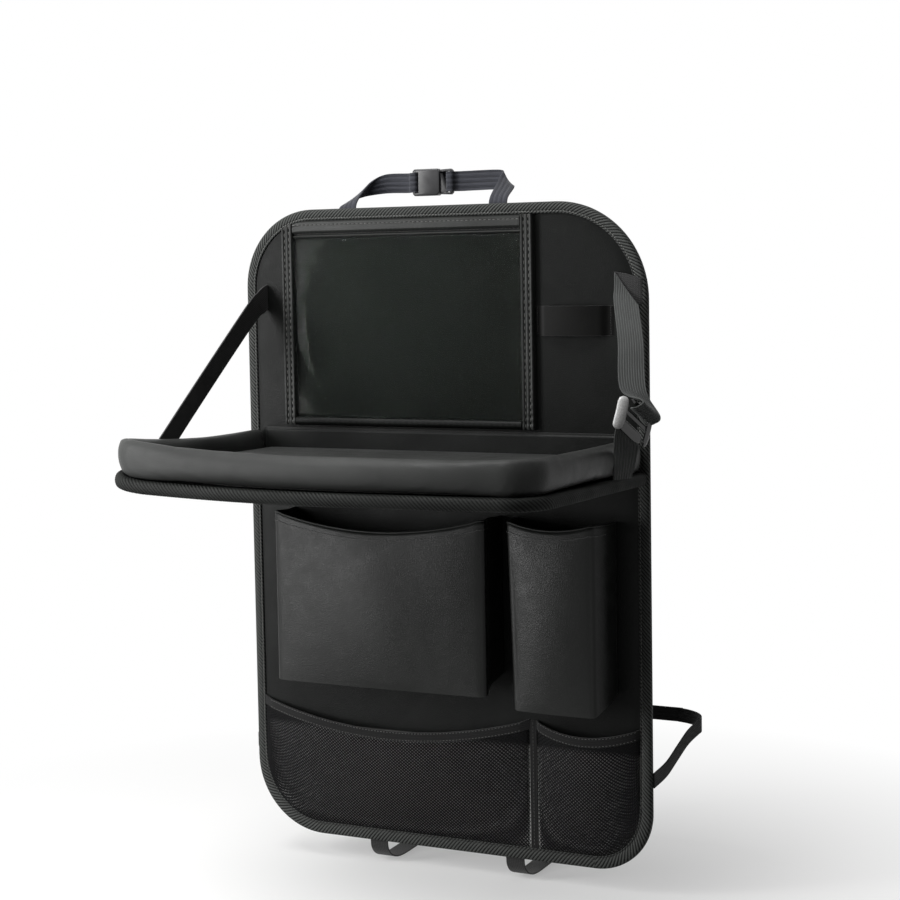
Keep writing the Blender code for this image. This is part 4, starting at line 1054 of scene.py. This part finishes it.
def make_tray_tape():
    """Coarse ribbed tape folded round the tray's edge."""
    line, normal = tray_edge(0.0, 0.0009)
    low, high = TRAY_TAPE_LOW.z, TRAY_TAPE_HIGH.z
    section = rounded(
        [(0.01, low + 0.0002), (0.0045, low), (0.0012, low + 0.0014), (0.0, (low + high) / 2),
         (0.0012, high - 0.0014), (0.0045, high), (0.01, high - 0.0002), (0.01, high - 0.0022),
         (0.004, high - 0.0024), (0.0026, (low + high) / 2), (0.004, low + 0.0024), (0.01, low + 0.0022)], 3)
    along = distances(line)
    around = distances(np.vstack([section, section[:1]]))[:-1]
    rib = np.sin(2 * math.pi * (along[:, None] + around[None, :]) / TRAY_RIB)
    push = unit(section - section.mean(0))
    outside = (section[:, 0] < 0.0085) & (np.arange(len(section)) < len(section) * 7 / 12)
    rows = line[:, None, :] + section[None, :, :1] * normal[:, None, :]
    proud = np.where(outside[None, :], RIB_HEIGHT * rib, 0.0)
    rows = rows + (proud * push[None, :, 0])[..., None] * normal[:, None, :]
    height = section[None, :, 1] + proud * push[None, :, 1]
    tape = tube("tray_tape", level(rows, height), MAT["tray_tape"])
    soft_corner(tape)
    belong(tape, "tray", "tape", "tray_edge_binding")


def pocket_grid(left, right, bottom, top, sag, flare, pleat, splay, yaw, front, back, columns, rows):
    """Points of a box pocket's folded sheet, from its bottom edge up."""
    middle = (front + back) / 2
    corner = POCKET_CORNER
    gusset = spline([(0.0, back), (pleat, middle), (splay * 0.8, front + corner * 1.2),
                     (splay + corner * 0.25, front + corner * 0.3), (splay + corner, front)], 7)
    corner = corner + splay
    span = right - left
    t = np.linspace(0, 1, columns + 1)[1:-1]
    plan = [(left + x, y, 0.0) for x, y in gusset]
    plan += [(left + corner + (span - 2 * corner) * s, front, math.sin(math.pi * s)) for s in t]
    plan += [(right - x, y, 0.0) for x, y in gusset[::-1]]
    x, y, crown = np.array(plan).T[:, None, :]
    v = np.linspace(0, 1, rows + 1)[:, None]
    low = bottom + POCKET_BOTTOM_RISE * (y - front) / (back - front)
    y = y + yaw * (right - x) / span * (back - y) / (back - front)
    z = low + (top - low - sag * crown**0.8 * v) * v
    lean = flare * v * (right - x) / span
    belly = POCKET_CROWN * crown**0.8 * (0.3 + 0.7 * np.sin(math.pi * v) ** 0.7)
    waves = 0.0009 * crown**0.5 * np.sin(46 * x + 2.2 * v) * np.sin(math.pi * v) ** 0.5
    return np.stack([x - lean, y - belly + waves, z], -1)


def make_pockets():
    """Two gusseted box pockets with folded, sewn top hems."""
    for name, node, sag, flare, *folds in POCKETS:
        low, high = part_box(node)
        ends = low.x + flare, high.x, low.z, high.z
        grid = pocket_grid(*ends, sag, flare, *folds, low.y + 0.0045, ON_FACE - 0.0004, 44, 40)
        piece = lattice(name, grid, MAT["pocket"])
        close_bottom(piece, len(grid[0]))
        thicken(piece, "wall", POCKET_WALL)
        belong(piece, "panel", "leatherette", node)
        row, out = grid[-3][8:-8], outward_of(grid[-3])[8:-8]
        stitches("stitching_" + node, row + out * 0.0002, out, POCKET_SEAM, "dark_thread", "leatherette")
        rolled_edge("hem_" + node, grid[-1], MAT["pocket"])


def outward_of(row):
    """Outward directions of a pocket's plan line, level with the ground."""
    t = tangents(row)
    return unit(np.column_stack([t[:, 1], -t[:, 0], np.zeros(len(t))]))


def rolled_edge(name, line, material):
    """Thin rolled piping along a pocket's opening."""
    out = outward_of(line)
    turn = np.linspace(0, 2 * math.pi, 10, endpoint=False)
    ring = (np.cos(turn) * PIPING)[None, :, None] * out[:, None, :]
    ring = ring + (np.sin(turn) * PIPING)[None, :, None] * np.array((0.0, 0.0, 1.0))
    piece = tube(name, (line - out * 0.0007)[:, None, :] + ring, material)
    belong(piece, "panel", "leatherette")


def close_bottom(piece, count):
    """Add the pocket's bottom face to its folded sheet."""

    def add_bottom(bm):
        bm.verts.ensure_lookup_table()
        bm.faces.new([bm.verts[k] for k in range(count)][::-1])
        bmesh.ops.recalc_face_normals(bm, faces=bm.faces)
        if max(bm.faces, key=lambda f: f.calc_area()).normal.z > 0:
            bmesh.ops.reverse_faces(bm, faces=bm.faces)

    reworked(piece.data, add_bottom)
    piece.data.shade_smooth()
    piece.data.set_sharp_from_angle(angle=math.radians(POCKET_SHARP))


def net_low(x):
    """Lowest Z of the net at x, just under the edge tape."""
    width = TAPE_WIDTH * LOW_TAPE_SHARE - 0.0015
    radius = np.where(x < 0, LOW_LEFT_RADIUS, LOW_RIGHT_RADIUS) - width
    past = np.clip(np.abs(x) - (HALF_W - width - radius), 0, radius)
    return LOW_EDGE + width + radius - np.sqrt(radius**2 - past**2)


def belly(t):
    """How far a net bulges across its width, from 0 to 1."""
    return np.where((t > 0) & (t < 1), np.sin(math.pi * np.clip(t, 0, 1)) ** 0.6, 0.0)


def make_net(side, sag):
    """Net with staggered holes, bulging from its seams, under an elastic band."""
    low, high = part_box("mesh_pocket_" + side)
    left, right = low.x, high.x
    band_low, band_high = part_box("mesh_band_" + side)
    top = band_high.z - (band_high.z - band_low.z - sag) + 0.001
    columns = 2 * int((right - left) / NET_PITCH)
    rows = 2 * int((top - low.z) / NET_ROW)
    i, j = np.meshgrid(np.arange(columns + 1), np.arange(rows + 1), indexing="ij")
    t = i / columns
    v = j / rows
    x = left + (right - left) * t
    bottom = net_low(x)
    reach = top - sag * np.where((t > 0) & (t < 1), np.sin(math.pi * t) ** 0.8, 0.0)
    z = bottom + (reach - bottom) * v
    out = MESH_BULGE * belly(t) * np.sin(math.pi / 2 * v) ** 0.8
    points = np.stack([x, ON_FACE - 0.0008 - out, z], -1).reshape(-1, 3)
    index = np.arange((columns + 1) * (rows + 1)).reshape(columns + 1, rows + 1)
    ii, jj = np.meshgrid(np.arange(1, columns), np.arange(1, rows), indexing="ij")
    keep = (ii + jj) % 2 == 1
    ii, jj = ii[keep], jj[keep]
    corners = np.stack([index[ii - 1, jj], index[ii, jj - 1], index[ii + 1, jj], index[ii, jj + 1]], 1)
    around = points[corners]
    centre = around.mean(1, keepdims=True)
    holes = centre + (around - centre) * NET_HOLE
    hole_index = len(points) + np.arange(len(corners) * 4).reshape(-1, 4)
    faces = []
    for k in range(4):
        m = (k + 1) % 4
        faces.append(np.stack([corners[:, k], corners[:, m], hole_index[:, m], hole_index[:, k]], 1))
    mesh = bpy.data.meshes.new("net_" + side)
    mesh.from_pydata(np.vstack([points, holes.reshape(-1, 3)]).tolist(), [], np.vstack(faces).tolist())
    reworked(mesh, drop_loose)
    piece = wrap("net_" + side, mesh, MAT["net"], False)
    thicken(piece, "yarn", YARN, 0.0)
    belong(piece, "panel", "mesh", "mesh_pocket_" + side)
    make_net_band(side, left, right, sag)


def drop_loose(bm):
    """Delete points that no face uses."""
    bmesh.ops.delete(bm, geom=[p for p in bm.verts if not p.link_faces], context="VERTS")


def make_net_band(side, left, right, sag):
    """Elastic band along a net's opening, with two rows of stitches."""
    node = "mesh_band_" + side
    low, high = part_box(node)
    width = high.z - low.z - sag
    stations = []
    for t in np.linspace(0, 1, 33):
        fall = sag * math.sin(math.pi * t) ** 0.8 if 0 < t < 1 else 0.0
        y = ON_FACE - 0.0009 - MESH_BULGE * float(belly(np.array(t)))
        stations.append(((left + (right - left) * t, y, high.z - width / 2 - fall), (0, 0, 1)))
    band = strap("net_band_" + side, stations, width, NET_BAND, MAT["elastic"], 4)
    belong(band, "panel", "elastic", node)
    for k, offset in enumerate((-0.36, 0.36)):
        line = np.array([c for c, _ in stations]) + np.array((0, -NET_BAND / 2, offset * width))
        name = "net_band_%s_stitching_%d" % (side, k + 1)
        stitches(name, line[1:-1], FORWARD, BAND_SEAM, "mid_thread", "elastic", FINE_THREAD)


def dress(node, material):
    """Finish a frame node whose shape is right, and soften its edges."""
    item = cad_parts[node]
    item.data.materials.clear()
    item.data.materials.append(material)
    weld = item.modifiers.new("weld", "WELD")
    weld.merge_threshold = 0.00001
    soft = item.modifiers.new("soft_edges", "BEVEL")
    soft.width = SOFT_EDGE
    soft.segments = 2
    soft.limit_method = "ANGLE"
    soft.angle_limit = math.radians(35)
    item.data.shade_smooth()


def make_divider():
    """Upright tape between the two nets."""
    low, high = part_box("mesh_divider")
    x = (low.x + high.x) / 2
    stations = [((x, (low.y + high.y) / 2, z), (1, 0, 0)) for z in np.linspace(low.z, high.z, 12)]
    tape = strap("net_divider", stations, high.x - low.x, NET_BAND, MAT["elastic"], 3)
    belong(tape, "panel", "elastic", "mesh_divider")
    line = [(x, low.y - 0.0003, low.z + 0.004), (x, low.y - 0.0003, high.z - 0.003)]
    stitches("divider_stitching", line, FORWARD, BAND_SEAM, "mid_thread", "elastic", FINE_THREAD)


def make_left_strap():
    """Webbing from the panel's left edge to the outside of the tray's left wall."""
    anchor = HALF_H - ANCHOR_FROM_TOP - LEFT_ANCHOR_LOWER
    wall = -TRAY_HALF + RIM_INSET - WEB / 2 - 2 * GAP
    start_x = -HALF_W + TAPE_WIDTH + 0.014
    end_y = TRAY_BACK - LEFT_REACH
    steep = (0.1, -0.673, 0.733)
    stations = [
        ((start_x, ON_FACE, anchor), (0, 0, 1)),
        ((start_x - 0.0012, ON_FACE - 0.011, anchor - 0.006), (0.02, -0.45, 0.88)),
        ((start_x - 0.0045, ON_FACE - 0.035, anchor - 0.0245), steep),
        ((wall + 0.0008, end_y + 0.002, HINGE_Z + 0.005), steep),
        ((wall, end_y - 0.008, HINGE_Z - 0.008), (0, -0.88, 0.46)),
        ((wall, end_y - 0.01, TRAY_TAPE_HIGH.z + GAP), (0, -1, 0)),
    ]
    piece = strap("left_tray_strap", stations, TRAY_WEB, WEB, MAT["webbing"], 16)
    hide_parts("tray_strap_left")
    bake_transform(piece)


def ladder_axes():
    """Centre of the adjuster and its directions: along its bars, down its length and out of its face."""
    along = Vector(LADDER_ALONG)
    down = Vector((0, 0, -1))
    facing = down.cross(along)
    bars = along * math.cos(LADDER_TILT) + down * math.sin(LADDER_TILT)
    length = -along * math.sin(LADDER_TILT) + down * math.cos(LADDER_TILT)
    clear = (LADDER_WIDTH / 2 + CHEEK_PROUD) * abs(bars.x)
    clear += (LADDER_LENGTH / 2 - CHEEK_ROUND) * abs(length.x) + (CHEEK_BACK - CHEEK_ROUND) * abs(facing.x)
    clear += CHEEK_ROUND * math.hypot(length.x, facing.x)
    centre = Vector((TRAY_HALF + clear + 2 * GAP, TRAY_BACK - RIGHT_REACH, HINGE_Z + LADDER_UP))
    return centre, bars, length, facing


def make_right_strap():
    """Ribbed webbing down the panel's right edge through the adjuster, and the tab to the tray."""
    centre, bars, length, facing = ladder_axes()
    pitch = (LADDER_LENGTH - LADDER_BAR) / 4
    upper = centre - length * pitch
    lower = centre + length * pitch
    anchor = HALF_H - ANCHOR_FROM_TOP
    start_x = HALF_W - 0.0195
    on_tape = TAPE_FRONT - GAP - WEB / 2
    through = LADDER_THICKNESS / 2 + WEB
    fold = [
        ((start_x - 0.0125, on_tape - 0.0002, anchor - 0.003), (0, 0, 1)),
        ((start_x, on_tape - 0.0002, anchor - 0.005), (0, 0, 1)),
        ((HALF_W - 0.0085, on_tape, anchor - 0.0085), (0, 0, 1)),
        ((HALF_W - 0.0044, on_tape + 0.0012, anchor - 0.0095), (0, 0, 1)),
        ((HALF_W - 0.0028, TAPE_FRONT / 2, anchor - 0.0098), (0, 0, 1)),
        ((HALF_W - 0.0028, -0.001, anchor - 0.01), (0, 0, 1)),
    ]
    knee = upper + Vector((-0.01, 0.006, 0.024))
    arm = strap("right_strap_fold", fold, TRAY_WEB, WEB, MAT["webbing"], 8)
    belong(arm, "panel", "webbing")
    stations = [
        ((start_x, on_tape - 0.0018, anchor + 0.0095), (1, 0, 0)),
        ((start_x, on_tape - 0.0022, anchor - 0.006), (1, 0, 0)),
        ((start_x + 0.001, on_tape - 0.006, anchor - 0.018), (1, 0.02, 0)),
        (knee + (Vector((start_x, on_tape, anchor)) - knee) * 0.45, (1, 0.1, -0.02)),
        (knee, (0.94, 0.33, -0.14)),
        (upper - length * 0.01 + facing * 0.0075, bars),
        (upper - length * 0.002 + facing * 0.0062, bars),
        (upper - facing * through, bars),
    ]
    piece = strap("right_tray_strap", stations, TRAY_WEB, WEB, MAT["ribbed_webbing"], 12, FOLD_MITRE)
    belong(piece, "panel", "webbing", "tray_strap_right")
    along = Vector(LADDER_ALONG)
    sewn = Vector((0.35, 0.94, 0.0))
    beside_rim = TRAY_HALF - RIM_INSET + WEB + GAP
    half = TRAY_WEB / 2
    tab = [
        (lower - facing * through, bars),
        (lower + length * 0.005 - facing * through * 0.9, bars),
        (lower + length * 0.011 - facing * 0.001, (bars + along * 0.4).normalized()),
        ((beside_rim + half * along.x, lower.y, RIM_HIGH.z - 0.008), along),
        ((beside_rim + half * sewn.x, lower.y, TRAY_TAPE_HIGH.z + 2 * GAP), sewn),
    ]
    piece = strap("right_strap_tab", tab, TRAY_WEB, WEB, MAT["ribbed_webbing"], 10)
    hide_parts("tray_strap_tab")
    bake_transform(piece)


def rod(name, route, breadth, depth, across, material):
    """A bar with an oval section, tapered at both ends."""
    route = resample(route, 0.0008)
    along = tangents(route)
    side = unit(np.cross(along, np.cross(np.asarray(across, float), along)))
    face = np.cross(along, side)
    s = np.linspace(-1, 1, len(route))
    taper = np.clip(1 - np.abs(s) ** 6, 0.02, 1) ** 0.5
    turn = np.linspace(0, 2 * math.pi, 20, endpoint=False)
    wide = breadth / 2 * taper[:, None, None] * np.cos(turn)[None, :, None] * side[:, None, :]
    deep = depth / 2 * taper[:, None, None] * np.sin(turn)[None, :, None] * face[:, None, :]
    return tube(name, route[:, None, :] + wide + deep, material)


def make_adjuster():
    """Ladder adjuster: two oval cheeks, the left one painted pale grey as a painted highlight, joined by
    polished bars and a broad lower bar.
    """
    centre, bars, length, facing = ladder_axes()
    half = LADDER_WIDTH / 2
    pieces = []
    run = (length * 0.45 + Vector((0, 0, -1)) * 0.75).normalized()
    for side, sign, shift, breadth, finish in CHEEKS:
        middle = centre + bars * sign * (half - 0.003) + shift
        marks = np.linspace(-CHEEK_HALF, CHEEK_HALF, 9)
        route = [middle + run * t + facing * 0.0018 * (1 - (t / 0.015) ** 2) for t in marks]
        pieces.append(rod("adjuster_cheek_" + side, route, breadth, 0.0048, CHEEK_FACING, MAT[finish]))
    pitch = (LADDER_LENGTH - LADDER_BAR) / 2
    for name, offset, breadth, depth in (
        ("upper", -pitch, 0.0042, 0.0036),
        ("middle", 0.0, 0.0046, 0.003),
        ("lower", pitch * 1.02, 0.01, 0.0046),
    ):
        route = [centre + length * offset + bars * t for t in np.linspace(-half - 0.0015, half - 0.0015, 9)]
        pieces.append(rod("adjuster_bar_" + name, route, breadth, depth, length, MAT["polished"]))
    for piece in pieces:
        belong(piece, "panel", "plastic", "tray_strap_buckle")


def make_headrest_strap():
    """Two webbing legs from the panel's top edge to the buckle behind it."""
    run_z = HALF_H + TOP_RUN_UP
    top = HALF_H - 0.004
    middle_y = (FACE + BOARD_BACK) / 2
    rear = TOP_RUN_BACK
    left_end = TOP_BUCKLE_X + SOCKET_HOLD
    right_end = TOP_BUCKLE_X + PLUG_HOLD
    left = [
        ((TOP_LEFT_LEG - 0.003, middle_y, top), (1, 0, 0)),
        ((TOP_LEFT_LEG - 0.003, middle_y + 0.006, top + 0.0096), (0.9, 0.1, 0.3)),
        ((TOP_LEFT_LEG + 0.003, rear * 0.66, run_z - 0.006), (0.62, 0.1, 0.78)),
        ((TOP_LEFT_LEG + 0.02, rear * 0.97, run_z), (0.15, 0.05, 0.98)),
        ((left_end - 0.012, rear - 0.0005, run_z), (0, 0, 1)),
        ((left_end - 0.006, rear - 0.006, run_z), (0, 0, 1)),
        ((left_end, rear - 0.005, run_z), (0, 0, 1)),
        ((left_end, rear + WEB_TIP, run_z), (0, 0, 1)),
    ]
    right = [
        ((TOP_RIGHT_LEG, middle_y, top), (1, 0, 0)),
        ((TOP_RIGHT_LEG, middle_y + 0.004, top + 0.0106), (1, 0, 0)),
        ((TOP_RIGHT_LEG - 0.002, rear * 0.6, run_z - 0.004), (0.9, -0.1, -0.42)),
        ((TOP_RIGHT_LEG - 0.013, rear * 0.95, run_z), (0.22, -0.06, -0.97)),
        ((right_end + 0.014, rear - 0.0005, run_z), (0, 0, -1)),
        ((right_end + 0.006, rear - 0.006, run_z), (0, 0, -1)),
        ((right_end, rear - 0.005, run_z), (0, 0, -1)),
        ((right_end, rear + WEB_TIP, run_z), (0, 0, -1)),
    ]
    for side, stations in (("left", left), ("right", right)):
        piece = strap("headrest_strap_" + side, stations, TOP_WEB, WEB, MAT["top_webbing"], 8)
        belong(piece, "panel", "webbing", "top_strap_" + side)


def make_bottom_straps():
    """Webbing from the panel's bottom edge back to the two hooks."""
    low = -HALF_H - 2 * GAP
    middle_y = (FACE + BOARD_BACK) / 2
    for side, x in BOTTOM_X.items():
        route = [
            (x, middle_y, low + 0.004),
            (x, middle_y + 0.002, low - BOTTOM_DROP * 0.45),
            (x, middle_y + 0.013, low - BOTTOM_DROP * 0.85),
            (x, middle_y + 0.032, low - BOTTOM_DROP),
            (x, middle_y + BOTTOM_REACH, low - BOTTOM_DROP * 0.92),
        ]
        stations = [(point, (1, 0, 0)) for point in route]
        piece = strap("seat_strap_" + side, stations, BOTTOM_WEB, WEB, MAT["webbing"], 12)
        belong(piece, "panel", "webbing", "bottom_strap_" + side)


def make_belt():
    """Elastic belt behind the panel, with its buckle in the middle."""
    low = BELT_UP - HALF_H
    far, high = BELT_REACH, low + BELT_RISE
    x_out = HALF_W + WEB
    for side, sign, hold in (("left", -1, -SOCKET_HOLD), ("right", 1, PLUG_HOLD)):
        stations = [((sign * x_out, TAPE_FRONT / 2, low), (0, 0, 1))]
        for t in (0.25, 0.5, 0.75):
            rise = BELT_RISE * (3 * t**2 - 2 * t**3)
            stations.append(((sign * x_out, (far - BELT_CORNER) * t, low + rise), (0, 0, 1)))
        corner = arc(x_out - BELT_CORNER, far - BELT_CORNER, BELT_CORNER, 0, 90, 8)
        stations += [((sign * px, py, high), (0, 0, 1)) for px, py in corner]
        for out, back in ((0.014, -0.0005), (0.006, -0.0058), (0.0, -0.005), (0.0, WEB_TIP)):
            stations.append(((sign * (hold + out), far + back, high), (0, 0, 1)))
        piece = strap("rear_belt_" + side, stations, BELT_WEB, WEB, MAT["elastic"], 6)
        belong(piece, "panel", "elastic", "seat_belt_" + side)


def make_camera():
    """Camera aimed at the object from its right front."""
    a, e, r = (math.radians(v) for v in (AZIMUTH, ELEVATION, ROLL))
    back = Vector((math.sin(a) * math.cos(e), -math.cos(a) * math.cos(e), math.sin(e)))
    right = (-back).cross(Vector((0, 0, 1))).normalized()
    up = right.cross(-back)
    across = right * math.cos(r) + up * math.sin(r)
    above = -right * math.sin(r) + up * math.cos(r)
    data = bpy.data.cameras.new("photo_camera")
    data.lens = LENS
    data.sensor_width = SENSOR
    camera = add_object("photo_camera", data)
    turn = Matrix((across, above, back)).transposed().to_4x4()
    camera.matrix_world = Matrix.Translation(Vector(TARGET) + back * DISTANCE) @ turn
    bpy.context.scene.camera = camera


def add_light(name, place, aim, size, energy):
    """Soft rectangular lamp."""
    data = bpy.data.lights.new(name, "AREA")
    data.shape = "RECTANGLE"
    data.size, data.size_y = size
    data.energy = energy
    light = add_object(name, data)
    light.location = place
    light.rotation_euler = (Vector(aim) - Vector(place)).to_track_quat("-Z", "Y").to_euler()


def seen_white(tree):
    """1 for rays that see the background straight, in gloss or through clear film."""
    path = put(tree, "ShaderNodeLightPath").outputs
    seen = maths(tree, "MAXIMUM", path["Is Camera Ray"], path["Is Glossy Ray"])
    return maths(tree, "MAXIMUM", seen, path["Is Transmission Ray"])


def make_stage():
    """Pale floor that fades to white, a white world, and soft light from the upper left."""
    world = bpy.data.worlds.new("studio")
    bpy.context.scene.world = world
    world.use_nodes = True
    tree = world.node_tree
    strength = maths(tree, "MAXIMUM", seen_white(tree), WORLD_FILL)
    feed(tree, tree.nodes["Background"], {"Strength": strength, "Color": WHITE})

    material = bpy.data.materials.new("studio_floor")
    material.use_nodes = True
    tree = material.node_tree
    shader = tree.nodes["Principled BSDF"]
    feed(tree, shader, {"Base Color": FLOOR_COLOUR, "Roughness": 0.9, "Specular IOR Level": 0.1})
    far = put(tree, "ShaderNodeVectorMath", {0: object_place(tree)}, operation="LENGTH").outputs["Value"]
    fade = put(tree, "ShaderNodeMapRange", {"Value": far, **FLOOR_FADE}).outputs["Result"]
    white = put(tree, "ShaderNodeEmission", {"Color": WHITE, "Strength": seen_white(tree)})
    mixed = put(tree, "ShaderNodeMixShader", {0: fade, 1: shader.outputs[0], 2: white.outputs[0]})
    tree.links.new(mixed.outputs[0], tree.nodes["Material Output"].inputs["Surface"])
    mesh = bpy.data.meshes.new("floor")
    bm = bmesh.new()
    bmesh.ops.create_circle(bm, cap_ends=True, segments=96, radius=FLOOR_RADIUS)
    bm.to_mesh(mesh)
    bm.free()
    mesh.materials.append(material)
    floor = add_object("floor", mesh)
    floor.location.z = CAD_BOX[0].z - FLOOR_GAP
    add_light("key", KEY_PLACE, KEY_AIM, KEY_SIZE, KEY_ENERGY)
    add_light("top", TOP_PLACE, TOP_AIM, TOP_SIZE, TOP_ENERGY)
    bpy.context.scene.view_settings.view_transform = "Standard"


make_camera()
make_stage()
make_panel()
make_edge_tape()
make_trims()
make_header()
make_window()
make_pen_band()
make_hem()
make_tray()
make_tray_tape()
make_pockets()
for net_side, net_sag in NET_SAG.items():
    make_net(net_side, net_sag)
make_divider()
make_left_strap()
make_right_strap()
make_headrest_strap()
make_bottom_straps()
make_belt()
make_adjuster()
for moulding in ("top_buckle_socket", "top_buckle_plug", "belt_buckle_socket", "belt_buckle_plug",
                 "bottom_hook_left", "bottom_hook_right"):
    dress(moulding, MAT["plastic"])
